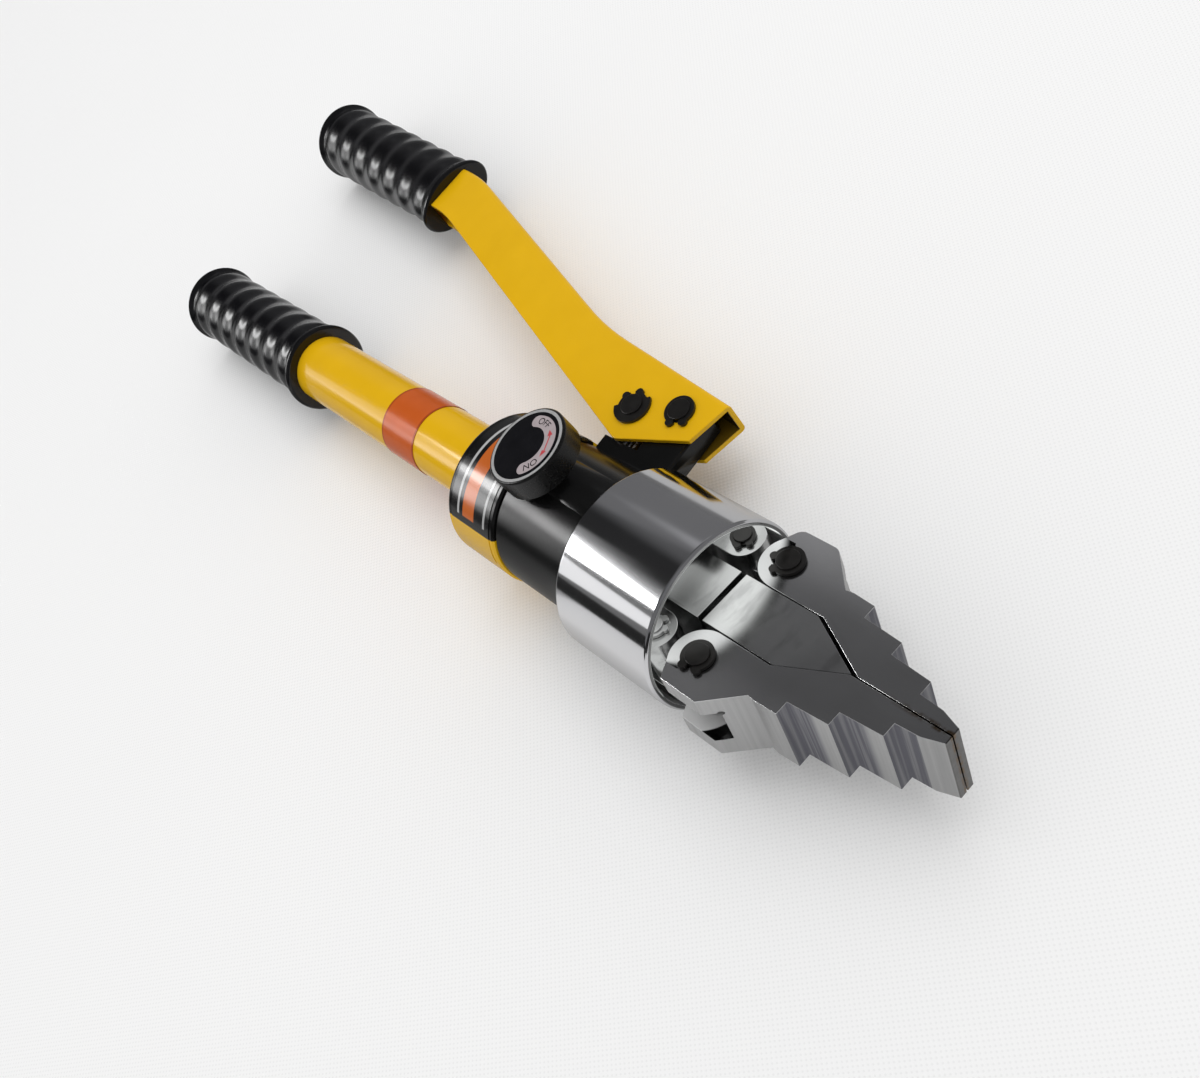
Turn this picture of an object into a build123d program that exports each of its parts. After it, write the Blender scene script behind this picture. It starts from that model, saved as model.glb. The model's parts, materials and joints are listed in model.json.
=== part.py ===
"""Hand-pumped hydraulic spreader as separate pieces, one STEP file each, in millimetres.

The origin is on the handle tube's axis at the middle of its bare length. +X runs to the jaw tips, +Y to the
side of the pump lever and +Z to the side of the release knob.
"""
import os
from math import cos, radians, sin, sqrt, tan

from build123d import *

os.makedirs("parts", exist_ok=True)

# Handle tube and its grip
BARE_TUBE = 152.0
TUBE_RADIUS = 16.0
TUBE_WALL = 2.5
TUBE_IN_COLLAR = 16.0
TUBE_BAND_START = 3.0
TUBE_BAND_WIDTH = 25.0
GRIP_LENGTH = 119.5
GRIP_RIBS = 7
GRIP_RIB_RADIUS = 19.0
GRIP_GROOVE_DEPTH = 1.1
GRIP_LIP_RADIUS = 21.2
GRIP_LIP_WIDTH = 5.5
GRIP_RIM_RADIUS = 20.3
GRIP_RIM_WIDTH = 4.5
GRIP_END_WALL = 4.0
GRIP_FLAT_FRONT = 15.0
GRIP_FLAT_REAR = 19.6
END_PLUG_LENGTH = 14.0
FILLER_RADIUS = 4.0
FILLER_HEAD_RADIUS = 7.0
FILLER_HEAD_HEIGHT = 3.0

# Oil bladder in the tube
BLADDER_RADIUS = 12.0
BLADDER_WALL = 1.5
BLADDER_END_GAP = 24.5
BLADDER_NECK = 18.0
BLADDER_CLIP_WIDTH = 6.0
BLADDER_CLIP_THICKNESS = 1.2

# Collar between the tube and the pump body
COLLAR_LENGTH = 30.5
COLLAR_RADIUS = 30.4
COLLAR_ROUND = 2.0
COLLAR_BAND_ARC = 156.0
COLLAR_BAND_INSET = 1.6
BAND_THICKNESS = 0.2
GLUE = 0.05

# Pump body
BARREL_LENGTH = 44.5
BARREL_RADIUS = 29.3
BARREL_CHAMFER = 0.8
REAR_SPIGOT_RADIUS = 25.0
FRONT_SPIGOT_RADIUS = 24.0
FRONT_SPIGOT_LENGTH = 18.0
NOZZLE_RADIUS = 9.0
NOZZLE_LENGTH = 23.0
CYLINDER_RADIUS = 19.05
CYLINDER_IN_BARREL = 22.0
PASSAGE_RADIUS = 1.5
VALVE_CHAMBER_RADIUS = 2.5
VALVE_BALL_RADIUS = 2.0
PLUG_HOLE_RADIUS = 1.2
SUCTION_CHAMBER = 12.0
SCREEN_RADIUS = 4.2
SCREEN_THICKNESS = 1.0
SCREEN_STEM = 5.0
DELIVERY_CHAMBER = 11.0
DELIVERY_PLUG = 3.0
OIL_WAY_Y = 4.0
OIL_WAY_Z = -2.0
RELIEF_BACK = 5.5
RELIEF_SEAT_DEPTH = 7.0
RELIEF_SPRING = 9.0
RELIEF_PLUG = 7.0
PLUG_SOCKET_RADIUS = 1.5
VALVE_WIRE_RADIUS = 0.35
VALVE_COIL_RADIUS = 1.7

# Chromed cylinder head
CHROME_LENGTH = 48.0
CHROME_RADIUS = 35.6
CHROME_WALL = 2.2
CHROME_CHAMFER = 0.9
RECESS_DEPTH = 20.0
BUSH_RADIUS = 11.5
WIPER_WIDTH = 2.0

# Head: pieces that stand turned about the tool's axis against the lever's plane
HEAD_TURN = 12.0
JAW_HEIGHT = 31.6
LINK_SLOT = 15.2
LINK_HEIGHT = 14.8
LINK_LENGTH = 20.6
LINK_EYE_RADIUS = 6.8
LINK_WAIST = 9.6
LINK_PIN_BACK = 6.2
LINK_PIN_Y = 21.8
LUG_RADIUS = 7.8
CLEVIS_BASE = 4.0
CLEVIS_CLEARANCE = 0.5
GUIDE_FRONT = 3.2
GUIDE_HALF_WIDTH = 10.8
SCREW_RADIUS = 2.5
SCREW_LENGTH = 8.0
SCREW_HEAD_RADIUS = 4.2
SCREW_HEAD_HEIGHT = 4.0
SCREW_SOCKET_RADIUS = 2.2
SCREW_CIRCLE = 26.0
SCREW_ANGLE = 62.0

# Wedge and ram
WEDGE_REAR = 5.3
WEDGE_TIP = 58.2
WEDGE_HALF_ANGLE = 26.0
WEDGE_SOCKET = 14.0
WEDGE_PIN_RADIUS = 2.0
WEDGE_PIN_BACK = 6.0
WEDGE_PIN_INSET = 0.3
ROD_RADIUS = 8.5
PISTON_LENGTH = 12.0
PISTON_STANDOFF = 0.5
PISTON_SOCKET = 9.0
SEAL_WIDTH = 3.0
SEAL_DEPTH = 2.6
SPRING_WIRE_RADIUS = 1.25
SPRING_COIL_RADIUS = 13.5
SPRING_TURNS = 4

# Jaws
JAW_TIP = 94.1
JAW_TIP_HALF = 2.9
NOSE_LENGTH = 7.1
STEP_LENGTH = 15.1
STEP_RISE = 5.0
STEP_TAPER = 1.1
NOSE_HEIGHT = 5.2
STEP_COUNT = 3
JAW_RELIEF = 8.4
JAW_RELIEF_DEPTH = 0.5
JAW_SHOULDER = 3.0
JAW_SIDE_Y = 34.5
JAW_SIDE_FRONT = 24.6
JAW_SIDE_REAR = 9.2
JAW_BOSS_ANGLE = 20.0
JAW_SIDE_ROUNDS = {"left": 0.8, "right": 4.0}
JAW_SLOT_FRONT = 29.2
SLOT_RELIEF_RADIUS = 0.9

# Pins and their clips; a clip's sizes are shares of its pin's radius
JAW_PIN_RADIUS = 4.25
LEVER_PIN_RADIUS = 4.6
LINK_PIN_RADIUS = 3.3
PIN_END = 0.7
GROOVE_SHARE = 0.78
CLIP_SHARE = 1.36
CLIP_MOUTH_SHARE = 0.5
CLIP_EAR_PLACE = 1.3
CLIP_EAR_SHARE = 0.36
CLIP_EAR_ANGLE = 29.0
CLIP_BACK_SHARE = 1.72
CLIP_BACK_CUT = 0.36
CLIP_THICKNESS = 1.2
CLIP_GAP = 0.2
LINK_CLIP_MOUTH = 46.0
JAW_CLIP_MOUTHS = {"left": -81.0, "right": -142.0}
FULCRUM_CLIP_MOUTH = -65.0
PLUNGER_CLIP_MOUTH = 128.0

# Lever
FULCRUM_BACK = 18.1
FULCRUM_Y = 55.4
PLUNGER_ARM = 21.0
PLUNGER_DROP = 6.3
LEVER_WIDTH = 25.0
LEVER_HEIGHT = 16.0
LEVER_PLATE = 2.2
LEVER_EDGE_ROUND = 2.0
ARM_ANGLE = 18.0
ARM_DROP = 13.5
ARM_LENGTH = 208.4
ARM_BEND_RADIUS = 90.0
GRIP_ANGLE = 4.6
GRIP_STANDOFF = 13.6
LEVER_IN_GRIP = 112.0
HEEL_BACK = 11.7
HEEL_ROUND = 4.0
TOE_FRONT = 12.0
TOE_DROP = 8.8
CORNER_FRONT = 17.1
CORNER_RISE = 10.4
KNEE_ANGLE = 6.4
KNEE_RADIUS = 150.0

# Fulcrum lug on the pump body
FULCRUM_LUG_HEIGHT = 11.2
FULCRUM_LUG_WEB_GAP = 0.6
FULCRUM_LUG_REAR = 8.0
FULCRUM_LUG_FRONT = 10.7
FULCRUM_LUG_CHAMFER = 1.0
LUG_BASE_REAR = 5.2
LUG_BASE_TOP = 35.0
FULCRUM_LUG_RISE = 4.0
FULCRUM_LUG_ROOT = 20.0

# Pump plunger
PLUNGER_RADIUS = 3.75
PLUNGER_FOOT = 8.0
PLUNGER_BORE_FOOT = 3.0
PLUNGER_GLAND_RADIUS = 4.6
PLUNGER_GLAND_HEIGHT = 3.0
PLUNGER_SEAL_HEIGHT = 2.4
PLUNGER_SEAL_RADIUS = 4.5
PLUNGER_EYE_HEIGHT = 9.0
PLUNGER_EYE_WALL = 2.6
PLUNGER_EYE_PLAY = 2.2
PLUNGER_EYE_SHANK = 9.0

# Release valve and its knob
KNOB_BACK = 35.0
KNOB_Y = 8.2
KNOB_Z = 43.0
KNOB_TILT = 7.0
KNOB_RADIUS = 16.6
KNOB_HEIGHT = 10.0
KNOB_ROUND = 1.0
KNOB_SOCKET = 6.0
DIAL_RADIUS = 14.4
DIAL_RING_WIDTH = 1.2
DIAL_DEPTH = 0.8
DIAL_ARC_INNER = 7.9
DIAL_ARC_WIDTH = 5.0
DIAL_ARC_SPAN = 160.0
DIAL_ARC_MIDDLE = 30.0
VALVE_BOSS_RADIUS = 8.0
VALVE_BOSS_GAP = 0.5
VALVE_SCREW_RADIUS = 3.4
VALVE_FOOT_Z = 2.0
VALVE_TIP = 3.0
VALVE_TIP_RADIUS = 1.2
RELEASE_WAY_Z = 3.5
RETURN_WAY_Z = 9.0

# Fits
RUNNING_FIT = 0.05
FREE_GAP = 0.3
FLANK_GAPS = {"left": 0.08, "right": 1.2}
SPLIT_GAP = 0.45
WEDGE_SIDE_GAP = 0.4
SPRING_GAP = 0.3

# Stations along the tool's axis
X_GRIP = -BARE_TUBE / 2
X_TUBE_END = X_GRIP - GRIP_LENGTH + GRIP_END_WALL
X_COLLAR = BARE_TUBE / 2
X_TUBE_FRONT = X_COLLAR + TUBE_IN_COLLAR
X_BARREL = X_COLLAR + COLLAR_LENGTH
X_CHROME = X_BARREL + BARREL_LENGTH
X_FRONT = X_CHROME + CHROME_LENGTH
X_SPIGOT_REAR = X_TUBE_FRONT
X_NOZZLE = X_SPIGOT_REAR - NOZZLE_LENGTH
X_SPIGOT_FRONT = X_CHROME + FRONT_SPIGOT_LENGTH
X_CYLINDER = X_CHROME - CYLINDER_IN_BARREL
X_FLOOR = X_FRONT - RECESS_DEPTH
X_BASE = X_FLOOR + CLEVIS_BASE
X_PISTON = X_CYLINDER + PISTON_STANDOFF
X_DELIVERY = X_CYLINDER - DELIVERY_CHAMBER
X_RELIEF = X_CYLINDER - RELIEF_BACK

# Places worked out from the sizes
TUBE_BORE = TUBE_RADIUS - TUBE_WALL
RECESS_RADIUS = CHROME_RADIUS - CHROME_WALL
HEAD_NORMAL = (0, sin(radians(HEAD_TURN)), cos(radians(HEAD_TURN)))
HEAD = Plane(origin=(0, 0, 0), x_dir=(1, 0, 0), z_dir=HEAD_NORMAL)
LINK_PIN_X = X_FRONT - LINK_PIN_BACK
JAW_PIN_X = LINK_PIN_X + LINK_LENGTH
JAW_TOP = JAW_HEIGHT / 2
FULCRUM = Vector(X_CHROME - FULCRUM_BACK, FULCRUM_Y)
PLUNGER_PIN = FULCRUM - Vector(PLUNGER_ARM, PLUNGER_DROP)
LEVER_TOP = LEVER_HEIGHT / 2
KNOB_NORMAL = Vector(-sin(radians(KNOB_TILT)), 0, cos(radians(KNOB_TILT)))
KNOB_ALONG = (cos(radians(KNOB_TILT)), 0, sin(radians(KNOB_TILT)))
KNOB_FACE = Vector(X_CHROME - KNOB_BACK, KNOB_Y, KNOB_Z)
KNOB = Plane(origin=KNOB_FACE, x_dir=KNOB_ALONG, z_dir=KNOB_NORMAL)
VALVE_DEPTH = (KNOB_Z - VALVE_FOOT_Z) / KNOB_NORMAL.Z
SIDES = (("left", -1), ("right", 1))


def facing_x(x, y=0.0, z=0.0):
    """Plane at a point that faces +X."""
    return Plane(origin=(x, y, z), x_dir=(0, 1, 0), z_dir=(1, 0, 0))


def facing_y(x, y, z=0.0):
    """Plane at a point that faces +Y."""
    return Plane(origin=(x, y, z), x_dir=(1, 0, 0), z_dir=(0, 1, 0))


def turn(*corners):
    """Adds a body turned about the tool's axis from its (x, radius) corners."""
    with BuildSketch(Plane.XY) as profile:
        Polygon(*corners, align=None)
    revolve(profile.sketch, axis=Axis.X)


def rod(plane, radius, length, mode=Mode.ADD):
    """Adds or cuts a round rod from a plane along its normal."""
    with BuildSketch(plane) as face:
        Circle(radius)
    extrude(face.sketch, amount=length, mode=mode)


def ring(plane, outer, inner, length):
    """Adds a round sleeve from a plane along its normal."""
    with BuildSketch(plane) as face:
        Circle(outer)
        Circle(inner, mode=Mode.SUBTRACT)
    extrude(face.sketch, amount=length)


def save(piece, name):
    """Labels a finished piece and writes its file."""
    piece.part.label = name
    export_step(piece.part, f"parts/{name}.step")


def draw_grip(plane):
    """Adds a grip's solid outside, from its front face on the plane along the plane's x."""
    groove = GRIP_RIB_RADIUS - GRIP_GROOVE_DEPTH
    back = GRIP_LENGTH - GRIP_RIM_WIDTH
    pitch = (back - GRIP_LIP_WIDTH) / GRIP_RIBS
    with BuildSketch(plane) as profile:
        with BuildLine():
            Line((0, 0), (0, GRIP_RIB_RADIUS))
            lip_top = (GRIP_LIP_WIDTH / 2, GRIP_LIP_RADIUS)
            ThreePointArc((0, GRIP_RIB_RADIUS), lip_top, (GRIP_LIP_WIDTH, groove))
            for rib in range(GRIP_RIBS):
                start = GRIP_LIP_WIDTH + rib * pitch
                ThreePointArc((start, groove), (start + pitch / 2, GRIP_RIB_RADIUS), (start + pitch, groove))
            rim_top = (back + GRIP_RIM_WIDTH / 2, GRIP_RIM_RADIUS)
            ThreePointArc((back, groove), rim_top, (GRIP_LENGTH, GRIP_RIB_RADIUS))
            Line((GRIP_LENGTH, GRIP_RIB_RADIUS), (GRIP_LENGTH, 0))
            Line((GRIP_LENGTH, 0), (0, 0))
        make_face()
    revolve(profile.sketch, axis=Axis(plane.origin, plane.x_dir))


def draw_coil(plane, coil_radius, wire_radius, length, turns):
    """Adds a coil spring from a plane along its normal, its wire ends inside the length."""
    height = length - 2 * wire_radius
    seat = plane.origin + plane.z_dir * wire_radius
    with BuildLine() as path:
        Helix(pitch=height / turns, height=height, radius=coil_radius, center=seat, direction=plane.z_dir)
    with BuildSketch(Plane(origin=path.line @ 0, z_dir=path.line % 0)) as wire:
        Circle(wire_radius)
    sweep(wire.sketch, path=path.line, is_frenet=True)


def clip_face(pin_radius, mouth_angle, backed):
    """Face of a clip for a pin about the origin, its mouth at an angle from +x between two ears.
    A backed clip has a wider crescent on the side away from its mouth."""
    outer = CLIP_SHARE * pin_radius
    back = CLIP_BACK_SHARE * pin_radius
    with BuildSketch() as face:
        if backed:
            Circle(back)
            with PolarLocations(CLIP_BACK_CUT * pin_radius + back, 1, start_angle=mouth_angle):
                Rectangle(2 * back, 2 * back, mode=Mode.SUBTRACT)
        Circle(outer)
        for ear_angle in (mouth_angle - CLIP_EAR_ANGLE, mouth_angle + CLIP_EAR_ANGLE):
            with PolarLocations(CLIP_EAR_PLACE * pin_radius, 1, start_angle=ear_angle):
                Circle(CLIP_EAR_SHARE * pin_radius)
        Circle(GROOVE_SHARE * pin_radius, mode=Mode.SUBTRACT)
        with PolarLocations(outer, 1, start_angle=mouth_angle):
            Rectangle(2 * outer, CLIP_MOUTH_SHARE * pin_radius, mode=Mode.SUBTRACT)
    return face.sketch


def draw_clip(plane, x, y, z, pin_radius, mouth_angle, backed=False):
    """Adds one clip whose lower face is at height z over the plane."""
    with BuildSketch(plane.offset(z)) as face:
        with Locations((x, y)):
            add(clip_face(pin_radius, mouth_angle, backed))
    extrude(face.sketch, amount=CLIP_THICKNESS)


def draw_pin(plane, x, y, clip_z, pin_radius):
    """Adds a pin with a clip groove near each end; clip_z is the clips' lower face over the plane."""
    end = clip_z + CLIP_THICKNESS + PIN_END
    with BuildSketch(plane.offset(-end)) as face:
        with Locations((x, y)):
            Circle(pin_radius)
    extrude(face.sketch, amount=2 * end)
    for low in (clip_z, -clip_z - CLIP_THICKNESS):
        with BuildSketch(plane.offset(low)) as groove:
            with Locations((x, y)):
                Circle(pin_radius + 1)
                Circle(GROOVE_SHARE * pin_radius, mode=Mode.SUBTRACT)
        extrude(groove.sketch, amount=CLIP_THICKNESS, mode=Mode.SUBTRACT)


def pin_hole(plane, x, y, radius):
    """Cuts a hole for a pin right through the piece."""
    with BuildSketch(plane) as face:
        with Locations((x, y)):
            Circle(radius)
    extrude(face.sketch, amount=2 * JAW_HEIGHT, both=True, mode=Mode.SUBTRACT)


# Handle tube
with BuildPart() as handle_tube:
    ring(facing_x(X_TUBE_END), TUBE_RADIUS, TUBE_BORE, X_TUBE_FRONT - X_TUBE_END)
save(handle_tube, "handle_tube")

# Foil band on the tube
with BuildPart() as tube_band:
    tube_glue = TUBE_RADIUS + GLUE
    ring(facing_x(TUBE_BAND_START), tube_glue + BAND_THICKNESS, tube_glue, TUBE_BAND_WIDTH)
save(tube_band, "tube_band")

# Grip on the tube
with BuildPart() as fixed_grip:
    draw_grip(Plane(origin=(X_GRIP, 0, 0), x_dir=(-1, 0, 0), z_dir=(0, 0, 1)))
    rod(facing_x(X_TUBE_END), TUBE_RADIUS, GRIP_LENGTH, Mode.SUBTRACT)
save(fixed_grip, "fixed_grip")

# Plug in the tube's rear end and the filler screw in the plug
with BuildPart() as tube_end_plug:
    rod(facing_x(X_TUBE_END), TUBE_BORE, END_PLUG_LENGTH)
    rod(facing_x(X_TUBE_END), FILLER_RADIUS, END_PLUG_LENGTH, Mode.SUBTRACT)
    rod(facing_x(X_TUBE_END), FILLER_HEAD_RADIUS, FILLER_HEAD_HEIGHT, Mode.SUBTRACT)
save(tube_end_plug, "tube_end_plug")

with BuildPart() as filler_screw:
    rod(facing_x(X_TUBE_END), FILLER_HEAD_RADIUS, FILLER_HEAD_HEIGHT)
    rod(facing_x(X_TUBE_END), FILLER_RADIUS, END_PLUG_LENGTH)
    with BuildSketch(facing_x(X_TUBE_END)):
        RegularPolygon(FILLER_RADIUS - 1, 6)
    extrude(amount=FILLER_HEAD_HEIGHT, mode=Mode.SUBTRACT)
save(filler_screw, "filler_screw")

# Oil bladder, its neck clipped on the pump body's nozzle
X_NECK = X_NOZZLE + BLADDER_NECK
X_BLADDER = X_TUBE_END + END_PLUG_LENGTH + BLADDER_END_GAP
with BuildPart() as oil_bladder:
    turn(
        (X_NECK, NOZZLE_RADIUS),
        (X_NECK, NOZZLE_RADIUS + BLADDER_WALL),
        (X_NOZZLE, NOZZLE_RADIUS + BLADDER_WALL),
        (X_NOZZLE - 2, BLADDER_RADIUS),
        (X_BLADDER, BLADDER_RADIUS),
        (X_BLADDER, 0),
        (X_BLADDER + BLADDER_WALL, 0),
        (X_BLADDER + BLADDER_WALL, BLADDER_RADIUS - BLADDER_WALL),
        (X_NOZZLE - 2, BLADDER_RADIUS - BLADDER_WALL),
        (X_NOZZLE, NOZZLE_RADIUS),
    )
save(oil_bladder, "oil_bladder")

with BuildPart() as bladder_clip:
    neck = NOZZLE_RADIUS + BLADDER_WALL
    start = (X_NOZZLE + X_NECK - BLADDER_CLIP_WIDTH) / 2
    ring(facing_x(start), neck + BLADDER_CLIP_THICKNESS, neck, BLADDER_CLIP_WIDTH)
save(bladder_clip, "bladder_clip")

# Collar
with BuildPart() as collar:
    turn(
        (X_COLLAR, TUBE_RADIUS),
        (X_COLLAR, COLLAR_RADIUS),
        (X_BARREL - BARREL_CHAMFER, COLLAR_RADIUS),
        (X_BARREL, COLLAR_RADIUS - BARREL_CHAMFER),
        (X_BARREL, REAR_SPIGOT_RADIUS),
        (X_SPIGOT_REAR, REAR_SPIGOT_RADIUS),
        (X_SPIGOT_REAR, TUBE_RADIUS),
    )
    rear_rim = collar.edges().filter_by(GeomType.CIRCLE).group_by(Axis.X)[0].sort_by(SortBy.RADIUS)[-1]
    fillet(rear_rim, COLLAR_ROUND)
save(collar, "collar")

# Foil band over the collar's upper side
with BuildPart() as collar_band:
    band_start = X_COLLAR + COLLAR_ROUND + COLLAR_BAND_INSET
    band_width = X_BARREL - BARREL_CHAMFER - COLLAR_BAND_INSET - band_start
    with BuildSketch(Plane.XY.rotated((90 - COLLAR_BAND_ARC / 2, 0, 0))):
        with Locations((band_start + band_width / 2, COLLAR_RADIUS + GLUE + BAND_THICKNESS / 2)):
            Rectangle(band_width, BAND_THICKNESS)
    revolve(axis=Axis.X, revolution_arc=COLLAR_BAND_ARC)
save(collar_band, "collar_band")

# Pump body: barrel, spigots, nozzle, fulcrum lug, valve boss and the bores in them
RETURN_MOUTH = Vector(X_NOZZLE, OIL_WAY_Y / 2, -2 * OIL_WAY_Z)
RETURN_VALVE = KNOB_FACE + KNOB_NORMAL * ((RETURN_WAY_Z - KNOB_Z) / KNOB_NORMAL.Z)
RETURN_WAY = RETURN_VALVE - RETURN_MOUTH
LUG_FRONT = FULCRUM.X + FULCRUM_LUG_FRONT
KNEE_FROM_FULCRUM = CORNER_FRONT * sin(radians(KNEE_ANGLE)) + CORNER_RISE * cos(radians(KNEE_ANGLE))
WEB_FROM_FULCRUM = KNEE_FROM_FULCRUM - LEVER_PLATE
FULCRUM_LUG_RADIUS = WEB_FROM_FULCRUM - FULCRUM_LUG_WEB_GAP
RELEASE_VALVE = KNOB_FACE + KNOB_NORMAL * ((RELEASE_WAY_Z - KNOB_Z) / KNOB_NORMAL.Z)
with BuildPart() as pump_body:
    turn(
        (X_NOZZLE, 0),
        (X_NOZZLE, NOZZLE_RADIUS),
        (X_SPIGOT_REAR, NOZZLE_RADIUS),
        (X_SPIGOT_REAR, REAR_SPIGOT_RADIUS),
        (X_BARREL, REAR_SPIGOT_RADIUS),
        (X_BARREL, BARREL_RADIUS - BARREL_CHAMFER),
        (X_BARREL + BARREL_CHAMFER, BARREL_RADIUS),
        (X_CHROME - BARREL_CHAMFER, BARREL_RADIUS),
        (X_CHROME, BARREL_RADIUS - BARREL_CHAMFER),
        (X_CHROME, FRONT_SPIGOT_RADIUS),
        (X_SPIGOT_FRONT, FRONT_SPIGOT_RADIUS),
        (X_SPIGOT_FRONT, 0),
    )
    with BuildSketch(Plane.XY.offset(-FULCRUM_LUG_HEIGHT / 2)):
        Polygon(
            (PLUNGER_PIN.X - LUG_BASE_REAR, FULCRUM_LUG_ROOT),
            (LUG_FRONT, FULCRUM_LUG_ROOT),
            (LUG_FRONT, FULCRUM.Y + FULCRUM_LUG_RISE),
            (FULCRUM.X + FULCRUM_LUG_RADIUS * sqrt(0.5), FULCRUM.Y + FULCRUM_LUG_RADIUS * sqrt(0.5)),
            (FULCRUM.X, FULCRUM.Y),
            (FULCRUM.X - FULCRUM_LUG_REAR, FULCRUM.Y),
            (FULCRUM.X - FULCRUM_LUG_REAR, LUG_BASE_TOP),
            (PLUNGER_PIN.X - LUG_BASE_REAR, LUG_BASE_TOP),
            align=None,
        )
        with Locations((FULCRUM.X, FULCRUM.Y)):
            Circle(FULCRUM_LUG_RADIUS)
    extrude(amount=FULCRUM_LUG_HEIGHT)
    lug_edges = [
        edge
        for edge in pump_body.edges().filter_by(Axis.Y)
        if abs(edge.center().X - LUG_FRONT) < 0.01 and abs(edge.center().Z) > FULCRUM_LUG_HEIGHT / 4
    ]
    chamfer(lug_edges, FULCRUM_LUG_CHAMFER)
    rod(KNOB.offset(-KNOB_HEIGHT - VALVE_BOSS_GAP), VALVE_BOSS_RADIUS, -KNOB_HEIGHT)
    pin_hole(Plane.XY, FULCRUM.X, FULCRUM.Y, LEVER_PIN_RADIUS)
    rod(facing_x(X_CYLINDER), CYLINDER_RADIUS, CHROME_LENGTH, Mode.SUBTRACT)
    plunger_bore = PLUNGER_RADIUS + RUNNING_FIT
    rod(facing_y(PLUNGER_PIN.X, PLUNGER_BORE_FOOT), plunger_bore, LUG_BASE_TOP, Mode.SUBTRACT)
    gland_foot = LUG_BASE_TOP - PLUNGER_GLAND_HEIGHT
    rod(facing_y(PLUNGER_PIN.X, gland_foot), PLUNGER_GLAND_RADIUS, LUG_BASE_TOP, Mode.SUBTRACT)
    seal_foot = gland_foot - PLUNGER_SEAL_HEIGHT
    rod(facing_y(PLUNGER_PIN.X, seal_foot), PLUNGER_SEAL_RADIUS, PLUNGER_SEAL_HEIGHT, Mode.SUBTRACT)
    suction = facing_x(X_NOZZLE, OIL_WAY_Y, OIL_WAY_Z)
    rod(suction, PASSAGE_RADIUS, PLUNGER_PIN.X - X_NOZZLE, Mode.SUBTRACT)
    rod(suction, VALVE_CHAMBER_RADIUS, SUCTION_CHAMBER, Mode.SUBTRACT)
    delivery = facing_x(PLUNGER_PIN.X, OIL_WAY_Y, OIL_WAY_Z)
    rod(delivery, PASSAGE_RADIUS, X_CYLINDER - PLUNGER_PIN.X, Mode.SUBTRACT)
    rod(facing_x(X_DELIVERY, OIL_WAY_Y, OIL_WAY_Z), VALVE_CHAMBER_RADIUS, DELIVERY_CHAMBER, Mode.SUBTRACT)
    relief = Plane.XY.offset(OIL_WAY_Z).move(Location((X_RELIEF, OIL_WAY_Y, 0)))
    rod(relief, PLUG_HOLE_RADIUS, -RELIEF_SEAT_DEPTH, Mode.SUBTRACT)
    rod(relief.offset(-RELIEF_SEAT_DEPTH), VALVE_CHAMBER_RADIUS, -BARREL_RADIUS, Mode.SUBTRACT)
    rod(KNOB, VALVE_SCREW_RADIUS + RUNNING_FIT, -VALVE_DEPTH, Mode.SUBTRACT)
    release = facing_x(RELEASE_VALVE.X, KNOB_Y, RELEASE_WAY_Z)
    rod(release, PASSAGE_RADIUS, X_CYLINDER - RELEASE_VALVE.X, Mode.SUBTRACT)
    rod(Plane(origin=RETURN_MOUTH, z_dir=RETURN_WAY), PASSAGE_RADIUS, RETURN_WAY.length, Mode.SUBTRACT)
save(pump_body, "pump_body")

# Suction valve: screen with the seat in its stem, and the ball on the seat
with BuildPart() as oil_screen:
    rod(facing_x(X_NOZZLE - SCREEN_THICKNESS, OIL_WAY_Y, OIL_WAY_Z), SCREEN_RADIUS, SCREEN_THICKNESS)
    rod(facing_x(X_NOZZLE, OIL_WAY_Y, OIL_WAY_Z), VALVE_CHAMBER_RADIUS, SCREEN_STEM)
    screen_face = facing_x(X_NOZZLE - SCREEN_THICKNESS, OIL_WAY_Y, OIL_WAY_Z)
    rod(screen_face, PLUG_HOLE_RADIUS, 2 * SCREEN_STEM, Mode.SUBTRACT)
save(oil_screen, "oil_screen")

SPRING_ON_BALL = sqrt((VALVE_BALL_RADIUS + VALVE_WIRE_RADIUS) ** 2 - VALVE_COIL_RADIUS**2) - VALVE_WIRE_RADIUS
BALL_ON_PLUG = sqrt(VALVE_BALL_RADIUS**2 - PLUG_HOLE_RADIUS**2)
with BuildPart() as suction_ball:
    with Locations((X_NOZZLE + SCREEN_STEM + BALL_ON_PLUG, OIL_WAY_Y, OIL_WAY_Z)):
        Sphere(VALVE_BALL_RADIUS)
save(suction_ball, "suction_ball")

# Delivery valve: ball on the passage's mouth, spring and plug
BALL_ON_PASSAGE = sqrt(VALVE_BALL_RADIUS**2 - PASSAGE_RADIUS**2)
X_DELIVERY_BALL = X_DELIVERY + BALL_ON_PASSAGE
X_DELIVERY_PLUG = X_CYLINDER - DELIVERY_PLUG
with BuildPart() as delivery_ball:
    with Locations((X_DELIVERY_BALL, OIL_WAY_Y, OIL_WAY_Z)):
        Sphere(VALVE_BALL_RADIUS)
save(delivery_ball, "delivery_ball")

with BuildPart() as delivery_spring:
    spring_length = X_DELIVERY_PLUG - X_DELIVERY_BALL - SPRING_ON_BALL
    spring_seat = facing_x(X_DELIVERY_PLUG - spring_length, OIL_WAY_Y, OIL_WAY_Z)
    draw_coil(spring_seat, VALVE_COIL_RADIUS, VALVE_WIRE_RADIUS, spring_length, SPRING_TURNS)
save(delivery_spring, "delivery_spring")

with BuildPart() as delivery_plug:
    plug_face = facing_x(X_DELIVERY_PLUG, OIL_WAY_Y, OIL_WAY_Z)
    ring(plug_face, VALVE_CHAMBER_RADIUS, PLUG_HOLE_RADIUS, DELIVERY_PLUG)
save(delivery_plug, "delivery_plug")

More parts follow.
